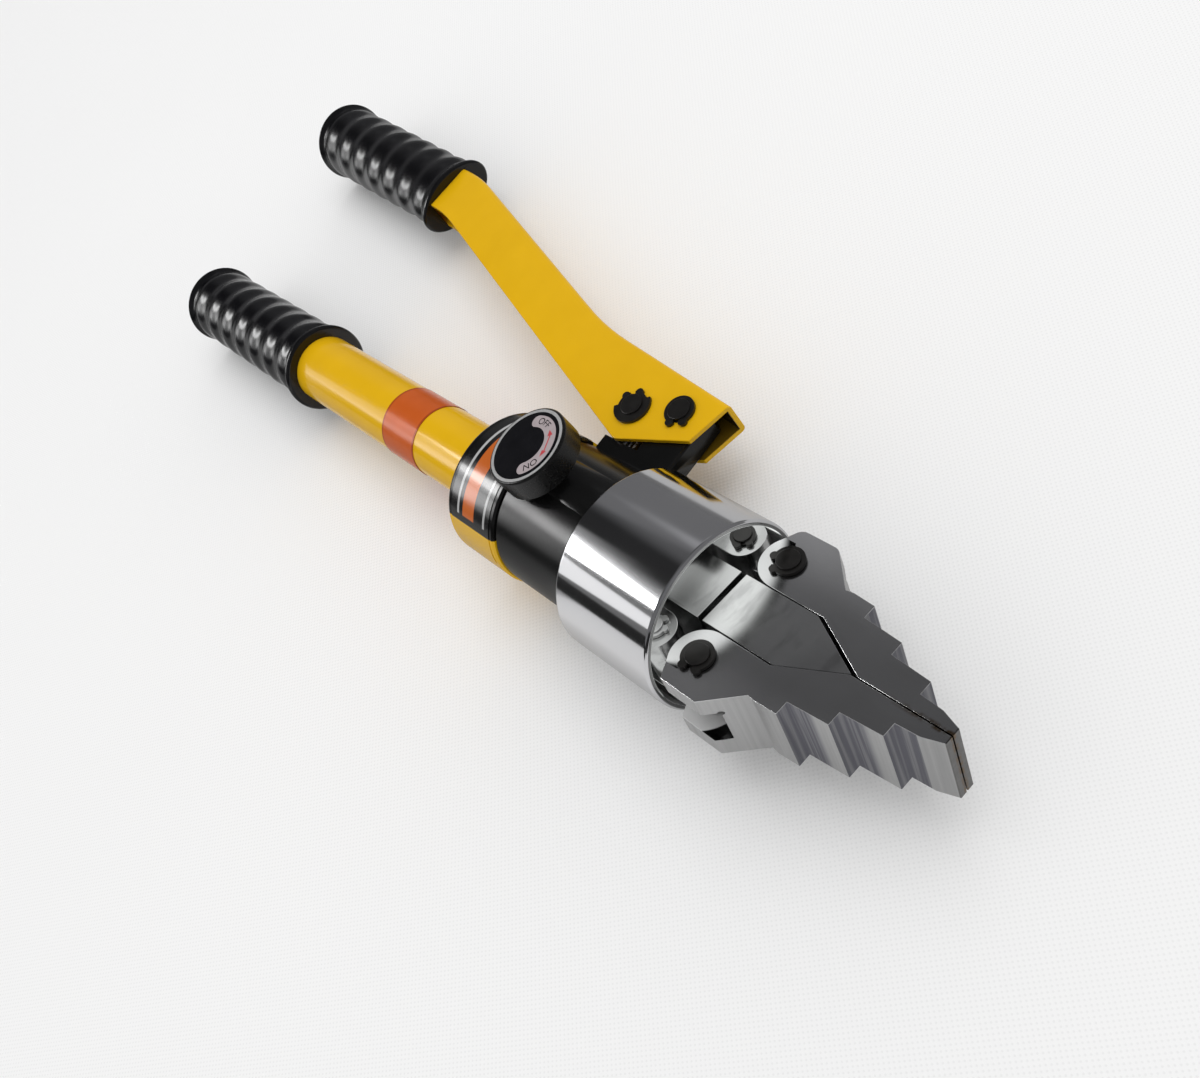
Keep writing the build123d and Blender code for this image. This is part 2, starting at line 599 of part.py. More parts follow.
# Relief valve under the barrel: ball, spring and plug
Z_RELIEF_SEAT = OIL_WAY_Z - RELIEF_SEAT_DEPTH
Z_RELIEF_BALL = Z_RELIEF_SEAT - BALL_ON_PLUG
Z_RELIEF_PLUG = Z_RELIEF_BALL - SPRING_ON_BALL - RELIEF_SPRING
with BuildPart() as relief_ball:
    with Locations((X_RELIEF, OIL_WAY_Y, Z_RELIEF_BALL)):
        Sphere(VALVE_BALL_RADIUS)
save(relief_ball, "relief_ball")

with BuildPart() as relief_spring:
    spring_seat = Plane(origin=(X_RELIEF, OIL_WAY_Y, Z_RELIEF_PLUG), x_dir=(1, 0, 0), z_dir=(0, 0, 1))
    draw_coil(spring_seat, VALVE_COIL_RADIUS, VALVE_WIRE_RADIUS, RELIEF_SPRING, SPRING_TURNS)
save(relief_spring, "relief_spring")

with BuildPart() as relief_plug:
    foot_place = (X_RELIEF, OIL_WAY_Y, Z_RELIEF_PLUG - RELIEF_PLUG)
    plug_foot = Plane(origin=foot_place, x_dir=(1, 0, 0), z_dir=(0, 0, 1))
    rod(plug_foot, VALVE_CHAMBER_RADIUS, RELIEF_PLUG)
    with BuildSketch(plug_foot):
        RegularPolygon(PLUG_SOCKET_RADIUS, 6)
    extrude(amount=RELIEF_PLUG / 2, mode=Mode.SUBTRACT)
save(relief_plug, "relief_plug")

# Chromed cylinder head
SCREW_PLACES = [
    (SCREW_CIRCLE * cos(radians(a)), SCREW_CIRCLE * sin(radians(a)))
    for a in (SCREW_ANGLE, 180 - SCREW_ANGLE, 180 + SCREW_ANGLE, -SCREW_ANGLE)
]
HEAD_X = Plane(origin=(0, 0, 0), x_dir=HEAD.y_dir, z_dir=(1, 0, 0))
with BuildPart() as cylinder_head:
    turn(
        (X_CHROME, FRONT_SPIGOT_RADIUS),
        (X_CHROME, CHROME_RADIUS - CHROME_CHAMFER),
        (X_CHROME + CHROME_CHAMFER, CHROME_RADIUS),
        (X_FRONT - CHROME_CHAMFER, CHROME_RADIUS),
        (X_FRONT, CHROME_RADIUS - CHROME_CHAMFER),
        (X_FRONT, RECESS_RADIUS),
        (X_FLOOR, RECESS_RADIUS),
        (X_FLOOR, BUSH_RADIUS),
        (X_SPIGOT_FRONT, BUSH_RADIUS),
        (X_SPIGOT_FRONT, FRONT_SPIGOT_RADIUS),
    )
    with BuildSketch(HEAD_X.offset(X_FLOOR)):
        with Locations(SCREW_PLACES):
            Circle(SCREW_RADIUS)
    extrude(amount=CLEVIS_BASE - SCREW_LENGTH, mode=Mode.SUBTRACT)
save(cylinder_head, "cylinder_head")

# Rod bush and wiper in the cylinder head
with BuildPart() as gland_bush:
    bush_length = X_FLOOR - WIPER_WIDTH - X_SPIGOT_FRONT
    ring(facing_x(X_SPIGOT_FRONT), BUSH_RADIUS, ROD_RADIUS + RUNNING_FIT, bush_length)
save(gland_bush, "gland_bush")

with BuildPart() as rod_wiper:
    ring(facing_x(X_FLOOR - WIPER_WIDTH), BUSH_RADIUS, ROD_RADIUS + RUNNING_FIT, WIPER_WIDTH)
save(rod_wiper, "rod_wiper")

# End piece in the cylinder head: base, guide block and the forked lugs of the links
with BuildPart() as clevis_block:
    with BuildSketch(HEAD.offset(LINK_SLOT / 2)):
        for name, side in SIDES:
            with Locations(((X_BASE + LINK_PIN_X) / 2 - 1, side * LINK_PIN_Y)):
                Rectangle(LINK_PIN_X - X_BASE + 2, 2 * LUG_RADIUS)
            with Locations((LINK_PIN_X, side * LINK_PIN_Y)):
                Circle(LUG_RADIUS)
    extrude(amount=(JAW_HEIGHT - LINK_SLOT) / 2)
    mirror(about=HEAD)
    with BuildSketch(HEAD.offset(-JAW_TOP)):
        with Locations(((X_FLOOR + X_FRONT + GUIDE_FRONT) / 2, 0)):
            Rectangle(X_FRONT + GUIDE_FRONT - X_FLOOR, 2 * GUIDE_HALF_WIDTH)
    extrude(amount=JAW_HEIGHT)
    rod(facing_x(X_FLOOR), RECESS_RADIUS - CLEVIS_CLEARANCE, CLEVIS_BASE)
    rod(facing_x(X_FLOOR), RECESS_RADIUS - CLEVIS_CLEARANCE, CHROME_LENGTH, Mode.INTERSECT)
    rod(facing_x(X_FLOOR), ROD_RADIUS + FREE_GAP, CHROME_LENGTH, Mode.SUBTRACT)
    for name, side in SIDES:
        pin_hole(HEAD, LINK_PIN_X, side * LINK_PIN_Y, LINK_PIN_RADIUS)
    with BuildSketch(HEAD_X.offset(X_FLOOR)):
        with Locations(SCREW_PLACES):
            Circle(SCREW_RADIUS)
    extrude(amount=CLEVIS_BASE, mode=Mode.SUBTRACT)
save(clevis_block, "clevis_block")

with BuildPart() as clevis_screws:
    with BuildSketch(HEAD_X.offset(X_BASE)):
        with Locations(SCREW_PLACES):
            Circle(SCREW_RADIUS)
    extrude(amount=-SCREW_LENGTH)
    with BuildSketch(HEAD_X.offset(X_BASE)):
        with Locations(SCREW_PLACES):
            Circle(SCREW_HEAD_RADIUS)
    extrude(amount=SCREW_HEAD_HEIGHT)
    with BuildSketch(HEAD_X.offset(X_BASE + SCREW_HEAD_HEIGHT / 2)):
        with Locations(SCREW_PLACES):
            RegularPolygon(SCREW_SOCKET_RADIUS, 6)
    extrude(amount=SCREW_HEAD_HEIGHT, mode=Mode.SUBTRACT)
save(clevis_screws, "clevis_screws")

# Link pins, fixed in the lugs, and their clips
HEAD_CLIP_Z = JAW_TOP + CLIP_GAP
with BuildPart() as link_pins:
    for name, side in SIDES:
        draw_pin(HEAD, LINK_PIN_X, side * LINK_PIN_Y, HEAD_CLIP_Z, LINK_PIN_RADIUS)
save(link_pins, "link_pins")

with BuildPart() as link_pin_clips:
    for name, side in SIDES:
        for low in (HEAD_CLIP_Z, -HEAD_CLIP_Z - CLIP_THICKNESS):
            draw_clip(HEAD, LINK_PIN_X, side * LINK_PIN_Y, low, LINK_PIN_RADIUS, -side * LINK_CLIP_MOUTH)
save(link_pin_clips, "link_pin_clips")

# Piston, its seal, rod, wedge and the pin between rod and wedge
X_SEAL = X_PISTON + (PISTON_LENGTH - SEAL_WIDTH) / 2
PISTON_RADIUS = CYLINDER_RADIUS - RUNNING_FIT
X_ROD = X_PISTON + PISTON_LENGTH - PISTON_SOCKET
X_WEDGE = X_FRONT + WEDGE_REAR
X_WEDGE_PIN = X_WEDGE + WEDGE_PIN_BACK
WEDGE_PIN_PLANE = Plane(origin=(X_WEDGE_PIN, 0, 0), x_dir=(1, 0, 0), z_dir=HEAD.y_dir)
with BuildPart() as piston:
    turn(
        (X_PISTON, 0),
        (X_PISTON, PISTON_RADIUS),
        (X_SEAL, PISTON_RADIUS),
        (X_SEAL, PISTON_RADIUS - SEAL_DEPTH),
        (X_SEAL + SEAL_WIDTH, PISTON_RADIUS - SEAL_DEPTH),
        (X_SEAL + SEAL_WIDTH, PISTON_RADIUS),
        (X_PISTON + PISTON_LENGTH, PISTON_RADIUS),
        (X_PISTON + PISTON_LENGTH, ROD_RADIUS),
        (X_ROD, ROD_RADIUS),
        (X_ROD, 0),
    )
save(piston, "piston")

with BuildPart() as piston_seal:
    ring(facing_x(X_SEAL), PISTON_RADIUS, PISTON_RADIUS - SEAL_DEPTH, SEAL_WIDTH)
save(piston_seal, "piston_seal")

with BuildPart() as piston_rod:
    rod(facing_x(X_ROD), ROD_RADIUS, X_WEDGE + WEDGE_SOCKET - X_ROD)
    rod(WEDGE_PIN_PLANE.offset(-CHROME_RADIUS), WEDGE_PIN_RADIUS, 2 * CHROME_RADIUS, Mode.SUBTRACT)
save(piston_rod, "piston_rod")

WEDGE_SLOPE = tan(radians(WEDGE_HALF_ANGLE))
X_WEDGE_TIP = X_FRONT + WEDGE_TIP
X_WEDGE_SHOULDER = X_WEDGE_TIP - GUIDE_HALF_WIDTH / WEDGE_SLOPE
with BuildPart() as wedge:
    with BuildSketch(HEAD.offset(-JAW_TOP)):
        Polygon(
            (X_WEDGE, -GUIDE_HALF_WIDTH),
            (X_WEDGE_SHOULDER, -GUIDE_HALF_WIDTH),
            (X_WEDGE_TIP, 0),
            (X_WEDGE_SHOULDER, GUIDE_HALF_WIDTH),
            (X_WEDGE, GUIDE_HALF_WIDTH),
            align=None,
        )
    extrude(amount=JAW_HEIGHT)
    rod(facing_x(X_WEDGE), ROD_RADIUS, WEDGE_SOCKET, Mode.SUBTRACT)
    rod(WEDGE_PIN_PLANE.offset(-CHROME_RADIUS), WEDGE_PIN_RADIUS, 2 * CHROME_RADIUS, Mode.SUBTRACT)
save(wedge, "wedge")

with BuildPart() as wedge_pin:
    pin_half = GUIDE_HALF_WIDTH - WEDGE_PIN_INSET
    rod(WEDGE_PIN_PLANE.offset(-pin_half), WEDGE_PIN_RADIUS, 2 * pin_half)
save(wedge_pin, "wedge_pin")

# Return spring round the rod
with BuildPart() as return_spring:
    spring_start = X_PISTON + PISTON_LENGTH + SPRING_GAP
    spring_length = X_SPIGOT_FRONT - spring_start
    draw_coil(facing_x(spring_start), SPRING_COIL_RADIUS, SPRING_WIRE_RADIUS, spring_length, SPRING_TURNS)
save(return_spring, "return_spring")

# Links, jaws, jaw pins and their clips on both sides
JAW_INNER = GUIDE_HALF_WIDTH + WEDGE_SIDE_GAP
JAW_BOSS = LINK_PIN_Y - JAW_INNER
X_NOSE = X_FRONT + JAW_TIP - NOSE_LENGTH


def flank_x(y, gap):
    """Place along the axis where a jaw's flank, a gap away from the wedge, is y from the middle."""
    shift = gap / cos(radians(WEDGE_HALF_ANGLE))
    return X_WEDGE_TIP - (y - shift) / WEDGE_SLOPE


def corner_at(sketch, point):
    """Vertex of a sketch that is nearest to a point."""
    return sketch.vertices().sort_by_distance((point.X, point.Y, 0))[0]


def jaw_outline(flank_gap):
    """Corners of a jaw drawn on the +y side, from the tip along the stepped outside to the flank."""
    corners = [(X_FRONT + JAW_TIP, SPLIT_GAP / 2), (X_FRONT + JAW_TIP, JAW_TIP_HALF), (X_NOSE, NOSE_HEIGHT)]
    x = X_NOSE - JAW_RELIEF
    y = NOSE_HEIGHT + STEP_TAPER * JAW_RELIEF / STEP_LENGTH
    corners.append((x, y))
    for step in range(STEP_COUNT - 1):
        corners.append((x, y + STEP_RISE))
        x = x - STEP_LENGTH
        y = y + STEP_RISE + STEP_TAPER
        corners.append((x, y))
    x_top = x - JAW_RELIEF
    corners.append((x, y + STEP_RISE))
    corners.append((x_top, y + STEP_RISE + JAW_RELIEF_DEPTH))
    corners.append((x_top - JAW_SHOULDER, y + STEP_RISE))
    boss_x = JAW_PIN_X - JAW_BOSS * cos(radians(JAW_BOSS_ANGLE))
    boss_y = LINK_PIN_Y + JAW_BOSS * sin(radians(JAW_BOSS_ANGLE))
    corners.append((X_FRONT + JAW_SIDE_FRONT, JAW_SIDE_Y))
    corners.append((X_FRONT + JAW_SIDE_REAR, JAW_SIDE_Y))
    corners.append((boss_x, boss_y))
    corners.append((JAW_PIN_X, LINK_PIN_Y))
    corners.append((JAW_PIN_X, JAW_INNER))
    corners.append((flank_x(JAW_INNER, flank_gap), JAW_INNER))
    corners.append((flank_x(SPLIT_GAP / 2, flank_gap), SPLIT_GAP / 2))
    return corners


for name, side in SIDES:
    with BuildPart() as link:
        with BuildSketch(HEAD.offset(-LINK_HEIGHT / 2)):
            with Locations(((LINK_PIN_X + JAW_PIN_X) / 2, side * LINK_PIN_Y)):
                Rectangle(LINK_LENGTH, LINK_WAIST)
            for x, pin_radius in ((LINK_PIN_X, LINK_PIN_RADIUS), (JAW_PIN_X, JAW_PIN_RADIUS)):
                with Locations((x, side * LINK_PIN_Y)):
                    Circle(LINK_EYE_RADIUS)
                    Circle(pin_radius + RUNNING_FIT, mode=Mode.SUBTRACT)
        extrude(amount=LINK_HEIGHT)
    save(link, f"link_{name}")

    with BuildPart() as jaw:
        with BuildSketch(HEAD.offset(-JAW_TOP)) as outline:
            Polygon(*[(x, side * y) for x, y in jaw_outline(FLANK_GAPS[name])], align=None)
            for corner_x in (X_FRONT + JAW_SIDE_FRONT, X_FRONT + JAW_SIDE_REAR):
                corner = Vector(corner_x, side * JAW_SIDE_Y)
                fillet(corner_at(outline.sketch_local, corner), JAW_SIDE_ROUNDS[name])
            with Locations((JAW_PIN_X, side * LINK_PIN_Y)):
                Circle(JAW_BOSS)
        extrude(amount=JAW_HEIGHT)
        with BuildSketch(HEAD.offset(-LINK_SLOT / 2)):
            with Locations((X_FRONT + JAW_SLOT_FRONT / 2, side * LINK_PIN_Y)):
                Rectangle(JAW_SLOT_FRONT, 2 * JAW_SIDE_Y)
        extrude(amount=LINK_SLOT, mode=Mode.SUBTRACT)
        relief_place = HEAD.from_local_coords(Vector(X_FRONT + JAW_SLOT_FRONT, 0, LINK_SLOT / 2))
        relief_plane = Plane(origin=relief_place, x_dir=(1, 0, 0), z_dir=HEAD.y_dir * side)
        rod(relief_plane, SLOT_RELIEF_RADIUS, 2 * JAW_SIDE_Y, Mode.SUBTRACT)
        pin_hole(HEAD, JAW_PIN_X, side * LINK_PIN_Y, JAW_PIN_RADIUS)
    save(jaw, f"jaw_{name}")

    with BuildPart() as jaw_pin:
        draw_pin(HEAD, JAW_PIN_X, side * LINK_PIN_Y, HEAD_CLIP_Z, JAW_PIN_RADIUS)
    save(jaw_pin, f"jaw_pin_{name}")

    with BuildPart() as jaw_clips:
        for low in (HEAD_CLIP_Z, -HEAD_CLIP_Z - CLIP_THICKNESS):
            draw_clip(HEAD, JAW_PIN_X, side * LINK_PIN_Y, low, JAW_PIN_RADIUS, JAW_CLIP_MOUTHS[name])
    save(jaw_clips, f"jaw_clips_{name}")

# Lever: directions of the arm, the grip and the outer edge over the fulcrum
ARM_WAY = Vector(-cos(radians(ARM_ANGLE)), sin(radians(ARM_ANGLE)))
ARM_SIDE = Vector(sin(radians(ARM_ANGLE)), cos(radians(ARM_ANGLE)))
GRIP_WAY = Vector(-cos(radians(GRIP_ANGLE)), sin(radians(GRIP_ANGLE)))
GRIP_SIDE = Vector(sin(radians(GRIP_ANGLE)), cos(radians(GRIP_ANGLE)))
KNEE_WAY = Vector(-cos(radians(KNEE_ANGLE)), sin(radians(KNEE_ANGLE)))
KNEE_SIDE = Vector(sin(radians(KNEE_ANGLE)), cos(radians(KNEE_ANGLE)))
ARM_FOOT = FULCRUM - ARM_SIDE * ARM_DROP
ARM_BEND = ARM_FOOT + ARM_WAY * ARM_LENGTH
GRIP_FRONT = ARM_BEND + GRIP_WAY * GRIP_STANDOFF
LEVER_TAIL = GRIP_FRONT + GRIP_WAY * LEVER_IN_GRIP
LEVER_CORNER = FULCRUM + Vector(CORNER_FRONT, CORNER_RISE)
LEVER_TOE = FULCRUM + Vector(TOE_FRONT, -TOE_DROP)


def meet(start, way, other, other_way):
    """Point where two lines in the lever's plane cross."""
    gap = other - start
    share = (gap.X * other_way.Y - gap.Y * other_way.X) / (way.X * other_way.Y - way.Y * other_way.X)
    return start + way * share


def bend_corner(shift):
    """Corner of the arm and grip lines moved outward by a distance."""
    return meet(ARM_BEND + ARM_SIDE * shift, ARM_WAY, ARM_BEND + GRIP_SIDE * shift, GRIP_WAY)


def knee_corner(inset):
    """Corner of the outer edges of the arm and of the lever's head moved inward by a distance."""
    arm_edge = ARM_FOOT + ARM_SIDE * (LEVER_WIDTH / 2 - inset)
    return meet(arm_edge, ARM_WAY, LEVER_CORNER - KNEE_SIDE * inset, KNEE_WAY)


def flat(point):
    """Coordinates of a point in the lever's plane."""
    return (point.X, point.Y)


with BuildPart() as lever_channel:
    half = LEVER_WIDTH / 2
    heel = ARM_FOOT + ARM_WAY * HEEL_BACK - ARM_SIDE * half
    with BuildSketch(Plane.XY.offset(-LEVER_TOP)) as outside:
        Polygon(
            flat(LEVER_TAIL - GRIP_SIDE * half),
            flat(bend_corner(-half)),
            flat(heel),
            flat(LEVER_TOE),
            flat(LEVER_CORNER),
            flat(knee_corner(0)),
            flat(bend_corner(half)),
            flat(LEVER_TAIL + GRIP_SIDE * half),
            align=None,
        )
        fillet(corner_at(outside.sketch_local, bend_corner(-half)), ARM_BEND_RADIUS)
        fillet(corner_at(outside.sketch_local, bend_corner(half)), ARM_BEND_RADIUS)
        fillet(corner_at(outside.sketch_local, knee_corner(0)), KNEE_RADIUS)
        fillet(corner_at(outside.sketch_local, heel), HEEL_ROUND)
    extrude(amount=LEVER_HEIGHT)
    web = half - LEVER_PLATE
    past = LEVER_WIDTH
    with BuildSketch(Plane.XY.offset(LEVER_PLATE - LEVER_TOP)) as hollow:
        Polygon(
            flat(LEVER_TAIL + GRIP_WAY * past - GRIP_SIDE * past),
            flat(bend_corner(-past)),
            flat(ARM_FOOT - ARM_WAY * 2 * past - ARM_SIDE * 2 * past),
            flat(LEVER_CORNER - KNEE_SIDE * LEVER_PLATE - KNEE_WAY * past),
            flat(knee_corner(LEVER_PLATE)),
            flat(bend_corner(web)),
            flat(LEVER_TAIL + GRIP_WAY * past + GRIP_SIDE * web),
            align=None,
        )
        fillet(corner_at(hollow.sketch_local, bend_corner(web)), ARM_BEND_RADIUS)
        fillet(corner_at(hollow.sketch_local, knee_corner(LEVER_PLATE)), KNEE_RADIUS)
    extrude(amount=LEVER_HEIGHT - 2 * LEVER_PLATE, mode=Mode.SUBTRACT)
    outer_edges = [
        edge
        for edge in lever_channel.edges()
        if abs(abs(edge.center().Z) - LEVER_TOP) < 0.01
        and (edge.center() - ARM_FOOT).dot(ARM_SIDE) > half / 3
        and edge.center().X < LEVER_TOE.X
        and edge.center().X > LEVER_TAIL.X + LEVER_PLATE
    ]
    fillet(outer_edges, LEVER_EDGE_ROUND)
    pin_hole(Plane.XY, FULCRUM.X, FULCRUM.Y, LEVER_PIN_RADIUS + RUNNING_FIT)
    pin_hole(Plane.XY, PLUNGER_PIN.X, PLUNGER_PIN.Y, LEVER_PIN_RADIUS)
save(lever_channel, "lever_channel")

# Grip on the lever
GRIP_PLANE = Plane(origin=GRIP_FRONT, x_dir=GRIP_WAY, z_dir=(0, 0, 1))
GRIP_SIDE_PLANE = Plane(origin=GRIP_FRONT, x_dir=GRIP_WAY, z_dir=GRIP_SIDE)
with BuildPart() as lever_grip:
    draw_grip(GRIP_PLANE)
    with BuildSketch(GRIP_SIDE_PLANE.offset(-2 * GRIP_LIP_RADIUS)):
        for face in (1, -1):
            Polygon(
                (-1, face * GRIP_FLAT_FRONT),
                (GRIP_LENGTH, face * GRIP_FLAT_REAR),
                (GRIP_LENGTH, face * 2 * GRIP_LIP_RADIUS),
                (-1, face * 2 * GRIP_LIP_RADIUS),
                align=None,
            )
    extrude(amount=4 * GRIP_LIP_RADIUS, mode=Mode.SUBTRACT)
    with BuildSketch(GRIP_PLANE.offset(-LEVER_TOP)):
        with Locations((LEVER_IN_GRIP / 2 - 1, 0)):
            Rectangle(LEVER_IN_GRIP + 2, LEVER_WIDTH)
    extrude(amount=LEVER_HEIGHT, mode=Mode.SUBTRACT)
save(lever_grip, "lever_grip")

# Fulcrum pin, plunger pin and their clips
LEVER_CLIP_Z = LEVER_TOP + CLIP_GAP
with BuildPart() as fulcrum_pin:
    draw_pin(Plane.XY, FULCRUM.X, FULCRUM.Y, LEVER_CLIP_Z, LEVER_PIN_RADIUS)
save(fulcrum_pin, "fulcrum_pin")

with BuildPart() as fulcrum_clips:
    for low in (LEVER_CLIP_Z, -LEVER_CLIP_Z - CLIP_THICKNESS):
        draw_clip(Plane.XY, FULCRUM.X, FULCRUM.Y, low, LEVER_PIN_RADIUS, FULCRUM_CLIP_MOUTH)
save(fulcrum_clips, "fulcrum_clips")

with BuildPart() as plunger_pin:
    draw_pin(Plane.XY, PLUNGER_PIN.X, PLUNGER_PIN.Y, LEVER_CLIP_Z, LEVER_PIN_RADIUS)
save(plunger_pin, "plunger_pin")

with BuildPart() as plunger_pin_clips:
    for low in (LEVER_CLIP_Z, -LEVER_CLIP_Z - CLIP_THICKNESS):
        pin_x, pin_y = PLUNGER_PIN.X, PLUNGER_PIN.Y
        draw_clip(Plane.XY, pin_x, pin_y, low, LEVER_PIN_RADIUS, PLUNGER_CLIP_MOUTH, backed=True)
save(plunger_pin_clips, "plunger_pin_clips")

# Plunger with a slotted eye, its seal and gland
with BuildPart() as plunger:
    eye_half = LEVER_PIN_RADIUS + FREE_GAP
    eye_top = PLUNGER_PIN.Y + eye_half + PLUNGER_EYE_WALL
    eye_foot = PLUNGER_PIN.Y - PLUNGER_EYE_SHANK
    eye_width = 2 * (eye_half + PLUNGER_EYE_PLAY + PLUNGER_EYE_WALL)
    with BuildSketch(Plane.XY.offset(-PLUNGER_EYE_HEIGHT / 2)):
        with Locations((PLUNGER_PIN.X, (eye_top + eye_foot) / 2)):
            RectangleRounded(eye_width, eye_top - eye_foot, PLUNGER_EYE_WALL)
        with Locations((PLUNGER_PIN.X, PLUNGER_PIN.Y)):
            SlotCenterToCenter(2 * PLUNGER_EYE_PLAY, 2 * eye_half, mode=Mode.SUBTRACT)
    extrude(amount=PLUNGER_EYE_HEIGHT)
    rod(facing_y(PLUNGER_PIN.X, PLUNGER_FOOT), PLUNGER_RADIUS, eye_foot + 1 - PLUNGER_FOOT)
save(plunger, "plunger")

with BuildPart() as plunger_seal:
    seal_plane = facing_y(PLUNGER_PIN.X, seal_foot)
    ring(seal_plane, PLUNGER_SEAL_RADIUS, PLUNGER_RADIUS + RUNNING_FIT, PLUNGER_SEAL_HEIGHT)
save(plunger_seal, "plunger_seal")

with BuildPart() as plunger_gland:
    gland_plane = facing_y(PLUNGER_PIN.X, gland_foot)
    ring(gland_plane, PLUNGER_GLAND_RADIUS, PLUNGER_RADIUS + RUNNING_FIT, PLUNGER_GLAND_HEIGHT)
save(plunger_gland, "plunger_gland")

# Release knob, its ring, dial and arc, and the valve screw under it
DIAL_RECESS = DIAL_RADIUS + DIAL_RING_WIDTH
with BuildPart() as release_knob:
    rod(KNOB.offset(-KNOB_HEIGHT), KNOB_RADIUS, KNOB_HEIGHT)
    top_rim = release_knob.edges().filter_by(GeomType.CIRCLE).sort_by(Axis.Z)[-1]
    fillet(top_rim, min(KNOB_ROUND, KNOB_RADIUS - DIAL_RECESS))
    rod(KNOB, DIAL_RECESS, -DIAL_DEPTH, Mode.SUBTRACT)
    rod(KNOB.offset(-KNOB_HEIGHT), VALVE_SCREW_RADIUS, KNOB_SOCKET, Mode.SUBTRACT)
save(release_knob, "release_knob")

with BuildPart() as dial_ring:
    ring(KNOB.offset(-DIAL_DEPTH), DIAL_RECESS, DIAL_RADIUS, DIAL_DEPTH)
save(dial_ring, "dial_ring")


def arc_face():
    """Face of the dial's white arc: a curved band with round ends."""
    middle = DIAL_ARC_INNER + DIAL_ARC_WIDTH / 2
    with BuildSketch() as face:
        with BuildLine():
            arc = CenterArc((0, 0), middle, DIAL_ARC_MIDDLE - DIAL_ARC_SPAN / 2, DIAL_ARC_SPAN)
        SlotArc(arc, DIAL_ARC_WIDTH)
    return face.sketch


with BuildPart() as dial_plate:
    rod(KNOB.offset(-DIAL_DEPTH), DIAL_RADIUS, DIAL_DEPTH)
    with BuildSketch(KNOB):
        add(arc_face())
    extrude(amount=-DIAL_DEPTH / 2, mode=Mode.SUBTRACT)
save(dial_plate, "dial_plate")

with BuildPart() as dial_arc:
    with BuildSketch(KNOB):
        add(arc_face())
    extrude(amount=-DIAL_DEPTH / 2)
save(dial_arc, "dial_arc")

with BuildPart() as release_screw:
    screw_top = KNOB_SOCKET - KNOB_HEIGHT
    screw_foot = FREE_GAP + VALVE_TIP - VALVE_DEPTH
    rod(KNOB.offset(screw_foot), VALVE_SCREW_RADIUS, screw_top - screw_foot)
    rod(KNOB.offset(screw_foot - VALVE_TIP), VALVE_TIP_RADIUS, VALVE_TIP)
save(release_screw, "release_screw")
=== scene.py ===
"""The hydraulic spreader as it looks: eased solids, moulded grips, finishes, dial print, floor and light."""
import json
from math import cos, pi, radians, sin

import bmesh
import bpy
import numpy as np
from mathutils import Euler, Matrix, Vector


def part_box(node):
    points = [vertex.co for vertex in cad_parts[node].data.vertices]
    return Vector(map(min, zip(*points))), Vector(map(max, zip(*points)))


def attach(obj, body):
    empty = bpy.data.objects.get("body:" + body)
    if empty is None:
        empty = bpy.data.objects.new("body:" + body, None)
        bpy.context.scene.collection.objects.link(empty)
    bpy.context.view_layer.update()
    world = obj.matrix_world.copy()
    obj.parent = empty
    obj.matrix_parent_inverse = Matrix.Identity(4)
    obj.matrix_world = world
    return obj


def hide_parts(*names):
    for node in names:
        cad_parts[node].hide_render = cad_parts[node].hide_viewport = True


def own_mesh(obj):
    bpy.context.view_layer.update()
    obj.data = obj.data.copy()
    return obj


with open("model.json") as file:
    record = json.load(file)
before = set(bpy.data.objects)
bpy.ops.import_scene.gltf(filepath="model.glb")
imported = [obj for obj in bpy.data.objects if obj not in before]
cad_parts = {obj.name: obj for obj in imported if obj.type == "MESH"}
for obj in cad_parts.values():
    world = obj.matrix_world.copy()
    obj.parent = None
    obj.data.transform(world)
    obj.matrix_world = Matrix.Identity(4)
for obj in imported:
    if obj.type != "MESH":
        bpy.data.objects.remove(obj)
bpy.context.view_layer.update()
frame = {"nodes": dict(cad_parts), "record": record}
nodes = frame["nodes"]
scene = bpy.context.scene
scene.view_settings.view_transform = "Standard"

MM = 0.001


def along_axis(node):
    """Where a CAD node starts along the tool's axis, and its length."""
    low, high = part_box(node)
    return low.x, high.x - low.x


# Camera at the photograph's place, for a 1200 x 1078 frame
CAMERA_EYE = (0.427604, -0.048410, 0.330314)
CAMERA_TURN = (32.39438, 28.58850, 43.64988)
CAMERA_LENS = 36.0
CAMERA_SENSOR = 36.0
CAMERA_NEAR = 0.01

# Chromed sleeve: its place along the axis, its front rim and its bore
X_SLEEVE, SLEEVE_LENGTH = along_axis("cylinder_head")
X_RIM = X_SLEEVE + SLEEVE_LENGTH
BORE_RADIUS = 33.9 * MM

# Collar and tube band: places along the axis, the label's arc about it in degrees, and the printed stripes
# as shares of the length, each with its low edge, high edge and softness
X_COLLAR, COLLAR_LENGTH = along_axis("collar")
X_BAND, BAND_LENGTH = along_axis("tube_band")
LABEL_FROM = 14.0
LABEL_TO = 145.0
LABEL_EDGE = 1.0
LABEL_MARGIN = 6.0
ORANGE_STRIPE = (0.37, 0.60, 0.01)
REAR_STRIPE = (0.255, 0.285, 0.01)
FRONT_STRIPE = (0.80, 0.83, 0.01)
BAND_FACE = (0.05, 0.95, 0.015)

# Jaws: turn of the head about the axis, level of the top face, the links' slot, which is painted dark as
# shade, with a pale matt patch on its floor painted to look lit, where the outer parts turn brighter, the
# steps and the tip
HEAD_TURN = radians(12.0)
JAW_TOP = 15.8 * MM
SLOT_HALF = 7.6 * MM
X_SLOT_END = 228.2 * MM
LIT_PATCH_X = 207.0 * MM
LIT_PATCH_Y = 21.8 * MM
LIT_PATCH_RADIUS = 16.2 * MM
OUTER_BRIGHT_FROM = (13.0 * MM, 33.0 * MM)
X_STEP = 247.4 * MM
STEP_LENGTH = 15.1 * MM
X_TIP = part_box("jaw_left")[1].x
NOSE_LENGTH = 8.5 * MM
RUST_LENGTH = 26.0 * MM
